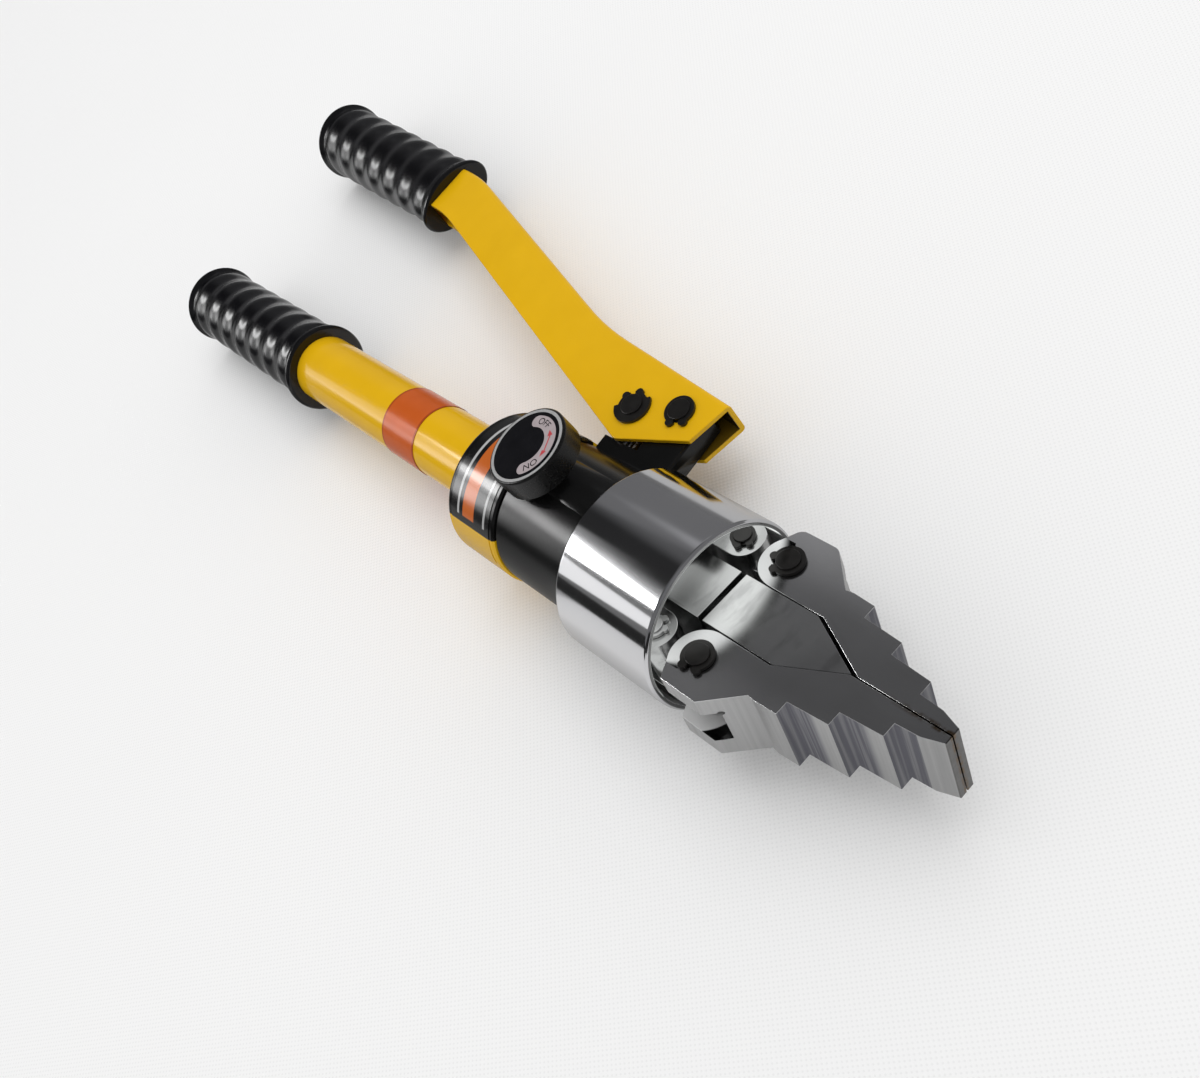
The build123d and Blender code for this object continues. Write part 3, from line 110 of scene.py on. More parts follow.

# Lever's end: the pin it swings on, the turn of its web and the clear room inside, which gets painted shade
# in black
PIN_LOW, PIN_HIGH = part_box("fulcrum_pin")
FULCRUM = (PIN_LOW + PIN_HIGH) / 2
KNEE_ANGLE = radians(6.4)
WEB_INSIDE = 10.3 * MM
CHANNEL_INSIDE = 5.95 * MM
X_LEVER_END = 100.0 * MM
PAINT_EDGE = 0.2 * MM
SHADE_FADE = 5.0 * MM


class Wire:
    """A socket in an expression: each operator adds a Math node, and node() adds any other node."""

    def __init__(self, tree, socket=None):
        self.tree = tree
        self.socket = socket

    def node(self, kind, settings=None, sockets=None, output=0):
        """Adds a node with its settings first, then a value or a wire for each socket."""
        made = self.tree.nodes.new(kind)
        for name, value in (settings or {}).items():
            setattr(made, name, value)
        for name, value in (sockets or {}).items():
            if isinstance(value, Wire):
                self.tree.links.new(value.socket, made.inputs[name])
            else:
                made.inputs[name].default_value = value
        return Wire(self.tree, made.outputs[output] if made.outputs else None)

    def math(self, operation, *values):
        return self.node("ShaderNodeMath", {"operation": operation}, dict(enumerate(values)))

    def __add__(self, other):
        return self.math("ADD", self, other)

    def __sub__(self, other):
        return self.math("SUBTRACT", self, other)

    def __rsub__(self, other):
        return self.math("SUBTRACT", other, self)

    def __mul__(self, other):
        return self.math("MULTIPLY", self, other)

    def __truediv__(self, other):
        return self.math("DIVIDE", self, other)

    def __rtruediv__(self, other):
        return self.math("DIVIDE", other, self)

    __radd__ = __add__
    __rmul__ = __mul__

    def above(self, low, high):
        """0 below low, 1 above high, and a smooth step between them."""
        sockets = {"Value": self, "From Min": low, "From Max": high}
        return self.node("ShaderNodeMapRange", {"interpolation_type": "SMOOTHSTEP"}, sockets)

    def inside(self, low, high, soft):
        """1 between low and high, falling to 0 within soft outside them."""
        return self.above(low - soft, low) * (1 - self.above(high, high + soft))

    def blend(self, colour_off, colour_on):
        """The first colour where this value is 0 and the second where it is 1."""
        sockets = {0: self, 6: colour_off, 7: colour_on}
        return self.node("ShaderNodeMix", {"data_type": "RGBA"}, sockets, 2)

    def axes(self):
        """The three object coordinates."""
        place = self.node("ShaderNodeTexCoord", output="Object")
        split = self.node("ShaderNodeSeparateXYZ", None, {"Vector": place}).socket.node
        return [Wire(self.tree, out) for out in split.outputs]

    def ray_kinds(self, *names):
        """Wires that are 1 on rays of the named kinds."""
        outputs = self.node("ShaderNodeLightPath").socket.node.outputs
        return [Wire(self.tree, outputs[name]) for name in names]

    def noise(self, scale, stretch=(1, 1, 1), detail=3.0, turn=0.0):
        """Noise from 0 to 1 on the object coordinates, turned about x and stretched by a Mapping node."""
        place = self.node("ShaderNodeTexCoord", output="Object")
        sockets = {"Vector": place, "Scale": [1 / factor for factor in stretch], "Rotation": (-turn, 0, 0)}
        place = self.node("ShaderNodeMapping", {"vector_type": "TEXTURE"}, sockets)
        sockets = {"Vector": place, "Scale": scale, "Detail": detail}
        return self.node("ShaderNodeTexNoise", None, sockets)

    def bump(self, distance, strength=1.0):
        """Normal of this value as a height times distance."""
        sockets = {"Height": self, "Distance": distance, "Strength": strength}
        return self.node("ShaderNodeBump", None, sockets)


def grey(value):
    return (value, value, value, 1.0)


def start_tree(owner):
    """Empties the node tree of a material or a world and gives a wire to build it with."""
    owner.use_nodes = True
    owner.node_tree.nodes.clear()
    return Wire(owner.node_tree)


def make_finish(name, recipe):
    """A material whose main shader takes the sockets that the recipe gives."""
    material = bpy.data.materials.new(name)
    wire = start_tree(material)
    shader = wire.node("ShaderNodeBsdfPrincipled", None, recipe(wire))
    wire.node("ShaderNodeOutputMaterial", None, {"Surface": shader})
    return material


def head_axes(wire):
    """Coordinates along the jaws, across them and over them, in the turned head."""
    x, y, z = wire.axes()
    return x, y * cos(HEAD_TURN) - z * sin(HEAD_TURN), y * sin(HEAD_TURN) + z * cos(HEAD_TURN)


def turn_about_axis(wire):
    """Angle about the tool's axis in degrees, 90 at the top."""
    _, y, z = wire.axes()
    return wire.math("ARCTAN2", z, y) * (180 / pi)


def enamel(wire, colour):
    return {
        "Base Color": colour,
        "Roughness": 0.11 + 0.07 * wire.noise(300.0),
        "Specular IOR Level": 0.30,
        "Normal": wire.noise(500.0, detail=1.0).bump(0.02 * MM, 0.2),
    }


def yellow_colour(wire):
    return wire.noise(55.0, detail=2.0).blend((0.69, 0.390, 0.004, 1.0), (0.77, 0.445, 0.007, 1.0))


def yellow_enamel(wire):
    return enamel(wire, yellow_colour(wire))


def lever_enamel_shaded_inside(wire):
    """Yellow outside, and black painted shade inside the channel's open end."""
    x, y, z = wire.axes()
    from_web = (x - FULCRUM.x) * sin(KNEE_ANGLE) + (y - FULCRUM.y) * cos(KNEE_ANGLE)
    # painted shade: the channel's inside near its open end is painted black
    inside = 1 - wire.math("ABSOLUTE", z).above(CHANNEL_INSIDE - PAINT_EDGE, CHANNEL_INSIDE)
    inside = inside * (1 - from_web.above(WEB_INSIDE - PAINT_EDGE, WEB_INSIDE))
    inside = inside * x.above(X_LEVER_END, X_LEVER_END + SHADE_FADE)
    return enamel(wire, inside.blend(yellow_colour(wire), grey(0.006)))


def label_mask(wire):
    return turn_about_axis(wire).inside(LABEL_FROM, LABEL_TO, LABEL_EDGE)


def collar_enamel(wire):
    return enamel(wire, label_mask(wire).blend(yellow_colour(wire), grey(0.005)))


def satin_black(wire):
    cloud = wire.noise(70.0)
    return {
        "Base Color": cloud.blend(grey(0.003), grey(0.007)),
        "Roughness": 0.18 + 0.08 * cloud,
        "Specular IOR Level": 0.30,
        "Normal": wire.noise(1500.0, detail=2.0).bump(0.015 * MM, 0.25),
    }


def chrome_plate(wire):
    """Smeared chrome outside, a dull bright bore and a dark front rim."""
    smear = wire.noise(38.0, (0.5, 1.0, 1.0), 4.0)
    x, y, z = wire.axes()
    bore = 1 - wire.math("SQRT", y * y + z * z).above(BORE_RADIUS, BORE_RADIUS + 0.4 * MM)
    rim = x.above(X_RIM - 0.12 * MM, X_RIM - 0.04 * MM)
    plate = smear.blend((0.585, 0.585, 0.60, 1.0), (0.655, 0.655, 0.665, 1.0))
    return {
        "Base Color": rim.blend(bore.blend(plate, grey(0.85)), grey(0.16)),
        "Metallic": 1.0,
        "Roughness": 0.085 + 0.08 * smear.above(0.45, 0.75) + 0.40 * bore,
    }


def grinding_lines(wire):
    return wire.noise(1.0, (60.0, 1400.0, 1400.0), 3.0)


def ground_steel(wire):
    lines = grinding_lines(wire)
    cloud = wire.noise(70.0, (1.0, 0.4, 1.0), 4.0)
    smudge = wire.noise(150.0, (1.0, 0.35, 1.0), 6.0).above(0.51, 0.70)
    clean = cloud.blend(grey(0.40), (0.56, 0.565, 0.56, 1.0))
    return {
        "Base Color": (0.36 * smudge).blend(clean, grey(0.16)),
        "Metallic": 1.0,
        "Roughness": 0.15 + 0.07 * lines + 0.08 * cloud,
        "Normal": lines.bump(0.004 * MM, 0.3),
    }


def jaw_steel(wire):
    """Ground faces brighter towards their outer edges, slots painted near black as shade with a pale matt
    patch on the floor painted to look lit, streaked steps that are darker and bluish at each root, dark tip
    faces, and rust where the jaws meet."""
    x, across, over = head_axes(wire)
    off_axis = wire.math("ABSOLUTE", across)
    lines = grinding_lines(wire)
    cloud = wire.noise(60.0, detail=4.0)
    streak = wire.noise(1.0, (620.0, 620.0, 14.0), 3.0, HEAD_TURN)
    speck = wire.noise(420.0, detail=5.0)

    # painted shade: the whole inside of the links' slot is painted near black
    slot = 1 - wire.math("ABSOLUTE", over).above(SLOT_HALF + 0.05 * MM, SLOT_HALF + 0.15 * MM)
    slot = slot * (1 - x.above(X_SLOT_END - 0.2 * MM, X_SLOT_END + 0.1 * MM))
    floor = slot * (1 - over.above(-SLOT_HALF + 0.1 * MM, -SLOT_HALF + 0.3 * MM))
    # painted light: a pale matt circle on the slot's floor, spared from the painted shade, makes that part
    # look lit
    lit_patch_dx = x - LIT_PATCH_X
    lit_patch_dy = off_axis - LIT_PATCH_Y
    from_lit_patch = wire.math("SQRT", lit_patch_dx * lit_patch_dx + lit_patch_dy * lit_patch_dy)
    painted_lit_patch = floor * (1 - from_lit_patch.above(LIT_PATCH_RADIUS, LIT_PATCH_RADIUS + 0.6 * MM))
    side = (1 - over.above(JAW_TOP - 0.5 * MM, JAW_TOP - 0.2 * MM)) * (1 - slot)
    # the faces turn brighter towards their outer edges
    outer_bright = off_axis.above(*OUTER_BRIGHT_FROM) * (0.7 + 0.6 * cloud)
    along_step = wire.math("FRACT", (x - X_STEP + 0.15 * MM) / STEP_LENGTH)
    stepped = x.inside(X_STEP - 0.1 * MM, X_TIP - NOSE_LENGTH, 0.1 * MM)
    # darker, bluish band at the root of each step
    step_root_dark = side * (1 - along_step.above(0.42, 0.72)) * stepped
    step_root_dark = step_root_dark * (0.55 + 0.45 * streak.above(0.35, 0.6))
    tip = x.above(X_TIP - 0.5 * MM, X_TIP - 0.3 * MM)
    split = (1 - off_axis.above(0.6 * MM, 1.6 * MM)) * x.above(X_TIP - RUST_LENGTH, X_TIP - 6 * MM)
    rust = split * speck.above(0.38, 0.6)

    colour = cloud.blend(grey(0.43), (0.52, 0.52, 0.525, 1.0))
    colour = (0.75 * outer_bright).blend(colour, grey(0.86))
    # painted shade in the slot
    colour = slot.blend(colour, grey(0.05))
    # painted light on the slot's floor
    colour = painted_lit_patch.blend(colour, grey(0.62))
    colour = side.blend(colour, streak.blend(grey(0.33), grey(0.55)))
    colour = step_root_dark.blend(colour, streak.blend((0.115, 0.115, 0.138, 1.0), (0.195, 0.195, 0.222, 1.0)))
    colour = (0.9 * tip).blend(colour, speck.blend((0.09, 0.088, 0.085, 1.0), (0.21, 0.205, 0.20, 1.0)))
    return {
        "Base Color": rust.blend(colour, (0.17, 0.12, 0.075, 1.0)),
        "Metallic": 1.0 - painted_lit_patch,
        "Roughness": 0.15 + 0.06 * lines + 0.05 * cloud + 0.12 * side + 0.15 * step_root_dark,
        "Normal": lines.bump(0.004 * MM, 0.3),
    }


def black_oxide(wire):
    cloud = wire.noise(260.0, detail=4.0)
    return {
        "Base Color": cloud.blend(grey(0.006), (0.022, 0.020, 0.018, 1.0)),
        "Metallic": 0.3,
        "Roughness": 0.24 + 0.18 * cloud,
        "Normal": wire.noise(1800.0).bump(0.02 * MM, 0.3),
    }


def link_pin_steel(wire):
    """Black on the right and bright metal on the left."""
    finish = black_oxide(wire)
    # bright metal for y below -8 mm, black above
    left_bright = 1 - wire.axes()[1].above(-8 * MM, 8 * MM)
    finish["Base Color"] = left_bright.blend(finish["Base Color"], grey(0.5))
    finish["Metallic"] = 0.3 + 0.7 * left_bright
    return finish


def turned_steel(wire):
    lines = wire.noise(1.0, (3000.0, 60.0, 60.0), 2.0)
    return {
        "Base Color": lines.blend(grey(0.50), grey(0.60)),
        "Metallic": 1.0,
        "Roughness": 0.20 + 0.12 * lines,
        "Normal": lines.bump(0.01 * MM, 0.3),
    }


def moulded_rubber(wire, roughness=0.18):
    cloud = wire.noise(90.0)
    return {
        "Base Color": cloud.blend((0.002, 0.002, 0.003, 1.0), (0.005, 0.005, 0.006, 1.0)),
        "Roughness": roughness + 0.06 * cloud,
        "Specular IOR Level": 0.45,
        "Normal": wire.noise(2200.0, detail=2.0).bump(0.015 * MM, 0.2),
    }


def handled_rubber(wire):
    return moulded_rubber(wire, 0.21)


def seal_rubber(wire):
    grain = wire.noise(1500.0)
    return {
        "Base Color": grain.blend(grey(0.010), grey(0.022)),
        "Roughness": 0.45 + 0.15 * grain,
        "Normal": grain.bump(0.04 * MM, 0.3),
    }


def oiled_bronze(wire):
    lines = wire.noise(1.0, (2500.0, 80.0, 80.0), 2.0)
    return {
        "Base Color": lines.blend((0.060, 0.038, 0.018, 1.0), (0.110, 0.070, 0.032, 1.0)),
        "Metallic": 1.0,
        "Roughness": 0.30 + 0.12 * lines,
    }


def orange_foil(wire):
    along = (wire.axes()[0] - X_BAND) / BAND_LENGTH
    border = 1 - along.inside(*BAND_FACE)
    cloud = wire.noise(120.0)
    face = cloud.blend((0.48, 0.082, 0.008, 1.0), (0.57, 0.104, 0.011, 1.0))
    return {
        "Base Color": border.blend(face, (0.35, 0.055, 0.006, 1.0)),
        "Roughness": 0.20 + 0.08 * cloud,
        "Specular IOR Level": 0.3,
    }


def collar_foil(wire):
    """Black foil on the label's arc with an orange stripe and two pale lines, and yellow beyond the arc."""
    along = (wire.axes()[0] - X_COLLAR) / COLLAR_LENGTH
    printed = turn_about_axis(wire).inside(LABEL_FROM + LABEL_MARGIN, LABEL_TO - LABEL_MARGIN, LABEL_EDGE)
    cloud = wire.noise(140.0)
    ink = cloud.blend(grey(0.004), grey(0.008))
    ink = (printed * along.inside(*ORANGE_STRIPE)).blend(ink, (0.52, 0.115, 0.014, 1.0))
    ink = (printed * along.inside(*REAR_STRIPE)).blend(ink, grey(0.45))
    ink = (printed * along.inside(*FRONT_STRIPE)).blend(ink, grey(0.38))
    return {
        "Base Color": label_mask(wire).blend(yellow_colour(wire), ink),
        "Roughness": 0.17 + 0.10 * cloud,
        "Coat Weight": 0.35,
        "Coat Roughness": 0.06,
    }


def knob_plastic(wire):
    grain = wire.noise(1200.0, detail=2.0)
    return {
        "Base Color": wire.noise(150.0).blend(grey(0.003), grey(0.006)),
        "Roughness": 0.24 + 0.08 * grain,
        "Specular IOR Level": 0.3,
        "Normal": grain.bump(0.02 * MM, 0.25),
    }


def dial_black(wire):
    cloud = wire.noise(220.0)
    return {
        "Base Color": cloud.blend((0.003, 0.003, 0.004, 1.0), (0.007, 0.007, 0.009, 1.0)),
        "Roughness": 0.16 + 0.10 * cloud,
        "Specular IOR Level": 0.25,
    }


def dial_red(wire):
    cloud = wire.noise(500.0)
    return {"Base Color": cloud.blend((0.40, 0.03, 0.04, 1.0), (0.52, 0.05, 0.06, 1.0)), "Roughness": 0.35}


def white_print(wire):
    cloud = wire.noise(500.0)
    return {
        "Base Color": cloud.blend((0.34, 0.29, 0.30, 1.0), (0.41, 0.355, 0.365, 1.0)),
        "Roughness": 0.30 + 0.1 * cloud,
    }


def silver_ring(wire):
    cloud = wire.noise(400.0)
    return {
        "Base Color": cloud.blend(grey(0.40), grey(0.52)),
        "Metallic": 0.35,
        "Roughness": 0.30 + 0.15 * cloud,
    }


FINISHES = {
    "yellow_paint": yellow_enamel,
    "black_body": satin_black,
    "chrome": chrome_plate,
    "ground_steel": ground_steel,
    "black_steel": black_oxide,
    "bright_steel": turned_steel,
    "grip_rubber": moulded_rubber,
    "seal_rubber": seal_rubber,
    "bronze": oiled_bronze,
    "orange_foil": orange_foil,
    "collar_foil": collar_foil,
    "knob_plastic": knob_plastic,
    "dial_print": dial_black,
    "white_print": white_print,
    "silver_ring": silver_ring,
}
finishes = {slot: make_finish(slot, recipe) for slot, recipe in FINISHES.items()}
jaw_finish = make_finish("jaw_steel", jaw_steel)
pin_finish = make_finish("link_pin_steel", link_pin_steel)
own_finish = {
    "link_pins": pin_finish,
    "link_pin_clips": pin_finish,
    "jaw_left": jaw_finish,
    "jaw_right": jaw_finish,
    "lever_channel": make_finish("lever_enamel_shaded_inside", lever_enamel_shaded_inside),
    "collar": make_finish("collar_enamel", collar_enamel),
}

behaviour = frame["record"]["behaviour"]
slot_of = {entry["node"]: entry["material_slot"] for entry in frame["record"]["subparts"]}
body_of = {node: body for body, names in behaviour["bodies"].items() for node in names}
finish_of = {node: own_finish.get(node, finishes[slot]) for node, slot in slot_of.items()}
for node, finish in finish_of.items():
    for material_slot in nodes[node].material_slots:
        material_slot.material = finish


# Edges eased on the pieces whose edges catch the light, width in mm
MERGE = 0.002 * MM
FLAT_ANGLE = radians(0.6)
EDGE_ANGLE = radians(30.0)
EASED = {
    "jaw_left": 0.22, "jaw_right": 0.22, "wedge": 0.2, "clevis_block": 0.25,
    "link_left": 0.3, "link_right": 0.3, "lever_channel": 0.4, "cylinder_head": 0.35,
    "pump_body": 0.3, "jaw_pin_left": 0.3, "jaw_pin_right": 0.3, "fulcrum_pin": 0.3,
    "plunger_pin": 0.3, "link_pins": 0.25,
}


def place_piece(name, mesh, finish, slot, body, *replaced):
    """Puts a piece in the scene with its finish, riding on a body in place of CAD nodes; the slot is not
    used.
    """
    mesh.materials.clear()
    mesh.materials.append(finish)
    piece = bpy.data.objects.new(name, mesh)
    scene.collection.objects.link(piece)
    if replaced:
        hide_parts(*replaced)
    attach(piece, body)
    return piece


def merged(node):
    """A CAD node's triangles with their shared corners joined, ready to edit."""
    work = bmesh.new()
    work.from_mesh(nodes[node].data)
    bmesh.ops.remove_doubles(work, verts=work.verts, dist=MERGE)
    return work


def finished(work, name):
    """A smooth mesh of edited triangles, with its sharp edges kept."""
    mesh = bpy.data.meshes.new(name)
    work.to_mesh(mesh)
    work.free()
    mesh.shade_smooth()
    mesh.set_sharp_from_angle(angle=EDGE_ANGLE)
    return mesh


def ease_edges(node, width):
    """Replaces a CAD node by its merged copy, with the outward edges rounded off by a Bevel modifier."""
    work = merged(node)
    bmesh.ops.dissolve_limit(work, angle_limit=FLAT_ANGLE, verts=work.verts, edges=work.edges)
    weight = work.edges.layers.float.new("bevel_weight_edge")
    for edge in work.edges:
        edge[weight] = float(edge.calc_face_angle_signed(0.0) > EDGE_ANGLE)
    mesh = finished(work, node + "_eased")
    piece = place_piece(node + "_eased", mesh, finish_of[node], slot_of[node], body_of[node], node)
    bevel = piece.modifiers.new("eased_edges", "BEVEL")
    bevel.width = width
    bevel.segments = 2
    bevel.limit_method = "WEIGHT"
    bevel.use_clamp_overlap = False
    bevel.harden_normals = True


for node, width in EASED.items():
    ease_edges(node, width * MM)

# Return spring: its coil as a smooth copy riding on the pump, and the share of its length from the rear to
# the gland left at the ram's full travel
coil_mesh = finished(merged("return_spring"), "return_spring_coil")
coil_finish = finish_of["return_spring"]
coil_slot = slot_of["return_spring"]
coil = place_piece("return_spring_coil", coil_mesh, coil_finish, coil_slot, "pump", "return_spring")
rear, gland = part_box("return_spring")
ram = next(joint for joint in behaviour["joints"] if joint["name"] == "ram_slide")
left_over = 1 - ram["range_m"][1] / (gland.x - rear.x)
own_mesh(coil)


def point_numbers(points, wrap):
    """Numbers of a grid's points, with the first column again after the last where the grid is closed."""
    rows, columns = points.shape[:2]
    index = np.arange(rows * columns).reshape(rows, columns)
    return np.concatenate([index, index[:, :1]], axis=1) if wrap else index


def quads_between(index):
    """A quad between each pair of neighbouring rows and columns of point numbers."""
    return np.stack([index[:-1, :-1], index[:-1, 1:], index[1:, 1:], index[1:, :-1]], axis=-1).reshape(-1, 4)


def surface(name, points, wrap=False):
    """A mesh of quads over a grid of points, rows by columns, each row a closed ring where asked."""
    mesh = bpy.data.meshes.new(name)
    mesh.from_pydata(points.reshape(-1, 3), [], quads_between(point_numbers(points, wrap)))
    mesh.shade_smooth()
    return mesh


def closed_surface(name, points, first, last):
    """A mesh over rows of closed rings, with a pole point before the first ring and after the last."""
    rows, columns = points.shape[:2]
    index = point_numbers(points, True)
    pole = rows * columns
    front = np.stack([np.full(columns, pole), index[0, 1:], index[0, :-1]], axis=-1)
    back = np.stack([np.full(columns, pole + 1), index[-1, :-1], index[-1, 1:]], axis=-1)
    mesh = bpy.data.meshes.new(name)
    corners = np.concatenate([points.reshape(-1, 3), [first, last]])
    mesh.from_pydata(corners, [], quads_between(index).tolist() + front.tolist() + back.tolist())
    mesh.shade_smooth()
    mesh.set_sharp_from_angle(angle=EDGE_ANGLE)
    return mesh


# Grips: length, ribs between the two ends, flared lip at the mouth, rim at the rear, rounding of both ends,
# end wall, bores, and how oval the lever's grip is at its mouth
GRIP_REAR, GRIP_LENGTH = along_axis("fixed_grip")
GRIP_RIBS = 7
GRIP_RIB_RADIUS = 19.0 * MM
GRIP_GROOVE_DEPTH = 1.08 * MM
GRIP_FIRST_RIB = 6.0 * MM
GRIP_AFTER_RIBS = 2.5 * MM
GRIP_LIP_RADIUS = 21.2 * MM
GRIP_LIP_WIDTH = 2.5 * MM
GRIP_LIP_REACH = 8.5 * MM
GRIP_LIP_FALL = 5.0 * MM
GRIP_LIP_ROUND = 1.6 * MM
GRIP_RIM_RADIUS = 20.3 * MM
GRIP_RIM_WIDTH = 3.0 * MM
GRIP_RIM_REACH = 6.0 * MM
GRIP_RIM_FALL = 4.0 * MM
GRIP_RIM_ROUND = 3.2 * MM
GRIP_FLARE_POWER = 0.8
GRIP_BLEND_POWER = 60.0
GRIP_END_WALL = 4.0 * MM
GRIP_MOUTH_DEPTH = 1.0 * MM
GRIP_OVAL_FRONT = 0.62
GRIP_OVAL_POWER = 1.3
GRIP_TURNS = 96
GRIP_STATIONS = 241
GRIP_LIP_STEPS = 7
GRIP_RIM_STEPS = 9
TUBE_BORE = 16.02 * MM
BLADE_HALF_WIDTH = 12.5 * MM
BLADE_HALF_HEIGHT = 8.0 * MM
LEVER_GRIP_TILT = radians(4.6)
LEVER_GRIP_MOUTH = (-83.1 * MM, 108.1 * MM, 0)


def flare(distance, reach):
    """0 up to a flare's edge, rising to 1 at its reach by a power of the share."""
    return np.clip(distance / reach, 0, 1) ** GRIP_FLARE_POWER


def grip_outside(along):
    """Radius along a grip: the largest of the ribs (a cosine wave), the flared lip and the rear rim, blended
    by the root of a sum of high powers. Both ends are rounded off by a quarter circle."""
    pitch = (GRIP_LENGTH - GRIP_FIRST_RIB - GRIP_AFTER_RIBS) / GRIP_RIBS
    wave = 0.5 - 0.5 * np.cos(2 * pi * (along - GRIP_FIRST_RIB) / pitch)
    ribs = GRIP_RIB_RADIUS - GRIP_GROOVE_DEPTH * (1 - wave)
    lip = GRIP_LIP_RADIUS - GRIP_LIP_FALL * flare(along - GRIP_LIP_WIDTH, GRIP_LIP_REACH)
    rim = GRIP_RIM_RADIUS - GRIP_RIM_FALL * flare(GRIP_LENGTH - GRIP_RIM_WIDTH - along, GRIP_RIM_REACH)
    radius = sum(part**GRIP_BLEND_POWER for part in (ribs, lip, rim)) ** (1 / GRIP_BLEND_POWER)
    start = np.clip(GRIP_LIP_ROUND - along, 0, GRIP_LIP_ROUND)
    end = np.clip(along - GRIP_LENGTH + GRIP_RIM_ROUND, 0, GRIP_RIM_ROUND)
    radius = radius - GRIP_LIP_ROUND + np.sqrt(GRIP_LIP_ROUND**2 - start**2)
    return radius - GRIP_RIM_ROUND + np.sqrt(GRIP_RIM_ROUND**2 - end**2)


def grip_mesh(name, origin, way, side, bore, oval):
    """A grip about its axis: rings at stations along it, from the bore's bottom out over the mouth to the
    rear end. A ring's points are origin + s way + r (cos t side + oval sin t up), and the bore's rings follow
    its own outline."""
    turns = np.linspace(0, 2 * pi, GRIP_TURNS, endpoint=False)
    outside = np.concatenate([
        GRIP_LIP_ROUND * (1 - np.cos(np.linspace(0, pi / 2, GRIP_LIP_STEPS)[:-1])),
        np.linspace(GRIP_LIP_ROUND, GRIP_LENGTH - GRIP_RIM_ROUND, GRIP_STATIONS),
        GRIP_LENGTH - GRIP_RIM_ROUND * (1 - np.sin(np.linspace(0, pi / 2, GRIP_RIM_STEPS)[1:])),
    ])
    bore_ring = bore(turns)
    bottom = GRIP_LENGTH - GRIP_END_WALL
    bore_stations = [bottom, GRIP_MOUTH_DEPTH, 0.0]
    inner = len(bore_stations)
    stations = np.concatenate([bore_stations, outside])
    shares = np.concatenate([np.zeros(inner), np.ones(len(outside))])[:, None]
    rings = np.concatenate([np.zeros(inner), grip_outside(outside)])[:, None]
    front = 1 - np.clip(stations / GRIP_LENGTH, 0, 1)
    ovals = (1 - (1 - oval) * front**GRIP_OVAL_POWER)[:, None]
    across = shares * rings * np.cos(turns) + (1 - shares) * bore_ring * np.cos(turns)
    upward = shares * rings * ovals * np.sin(turns) + (1 - shares) * bore_ring * np.sin(turns)
    axis = np.array(origin) + stations[:, None] * np.array(way)
    up = np.cross(way, side)
    points = axis[:, None, :] + across[..., None] * np.array(side) + upward[..., None] * up
    first = np.array(origin) + bottom * np.array(way)
    last = np.array(origin) + GRIP_LENGTH * np.array(way)
    return closed_surface(name, points, first, last)


def round_bore(turns):
    return np.full_like(turns, TUBE_BORE)


def blade_bore(turns):
    """Radius of the blade's rectangle: the smaller of half width / |cos t| and half height / |sin t|."""
    with np.errstate(divide="ignore"):
        return np.minimum(BLADE_HALF_WIDTH / np.abs(np.cos(turns)), BLADE_HALF_HEIGHT / np.abs(np.sin(turns)))


fixed_mouth = (GRIP_REAR + GRIP_LENGTH, 0, 0)
fixed = grip_mesh("fixed_grip_moulding", fixed_mouth, (-1.0, 0, 0), (0, 1.0, 0), round_bore, 1.0)
place_piece("fixed_grip_moulding", fixed, finishes["grip_rubber"], "grip_rubber", "pump", "fixed_grip")
lever_way = (-cos(LEVER_GRIP_TILT), sin(LEVER_GRIP_TILT), 0.0)
lever_side = (sin(LEVER_GRIP_TILT), cos(LEVER_GRIP_TILT), 0.0)
held = grip_mesh("lever_grip_moulding", LEVER_GRIP_MOUTH, lever_way, lever_side, blade_bore, GRIP_OVAL_FRONT)
handled = make_finish("handled_rubber", handled_rubber)
place_piece("lever_grip_moulding", held, handled, "grip_rubber", "lever", "lever_grip")


# Dial printing: two words and a double arrow bent along the pale arc in the dial's plane, angles in degrees
DIAL_TILT = radians(7.0)
DIAL_CENTRE = np.array((116.0, 8.2, 43.0)) * MM
DIAL_ALONG = np.array((cos(DIAL_TILT), 0.0, sin(DIAL_TILT)))
DIAL_ACROSS = np.array((0.0, 1.0, 0.0))
DIAL_UP = np.array((-sin(DIAL_TILT), 0.0, cos(DIAL_TILT)))
PRINT_RADIUS = 10.4 * MM
PRINT_LIFT = 0.03 * MM
LETTER_SIZE = 3.9 * MM
WORDS = {"OFF": 88.0, "ON": -32.0}
ARROW_FROM = -8.0
ARROW_TO = 58.0
ARROW_HEAD = 15.0
ARROW_SHOULDER = 0.0001
ARROW_HALF = 0.28 * MM
ARROW_HEAD_HALF = 1.15 * MM
ARROW_TIP_HALF = 0.03 * MM


def on_dial(along, rise, angle):
    """Points just over the dial, for a length along the arc, clockwise from an angle, and a rise outwards:
    centre + (R + rise) (cos t along + sin t across) + lift up, where t is the angle less length / R."""
    turn = radians(angle) - along / PRINT_RADIUS
    radius = PRINT_RADIUS + rise
    flat = (radius * np.cos(turn))[..., None] * DIAL_ALONG + (radius * np.sin(turn))[..., None] * DIAL_ACROSS
    return DIAL_CENTRE + flat + PRINT_LIFT * DIAL_UP


def word_mesh(word, angle):
    """A word's outline made a mesh, and its points bent along the arc."""
    curve = bpy.data.curves.new(word, "FONT")
    curve.body = word
    curve.size = LETTER_SIZE
    curve.align_x = "CENTER"
    curve.align_y = "CENTER"
    text = bpy.data.objects.new(word, curve)
    scene.collection.objects.link(text)
    bpy.context.view_layer.update()
    mesh = bpy.data.meshes.new_from_object(text.evaluated_get(bpy.context.evaluated_depsgraph_get()))
    bpy.data.objects.remove(text)
    bpy.data.curves.remove(curve)
    points = np.empty(3 * len(mesh.vertices))
    mesh.vertices.foreach_get("co", points)
    points = points.reshape(-1, 3)
    mesh.vertices.foreach_set("co", on_dial(points[:, 0], points[:, 1], angle).ravel())
    mesh.update()
    return mesh


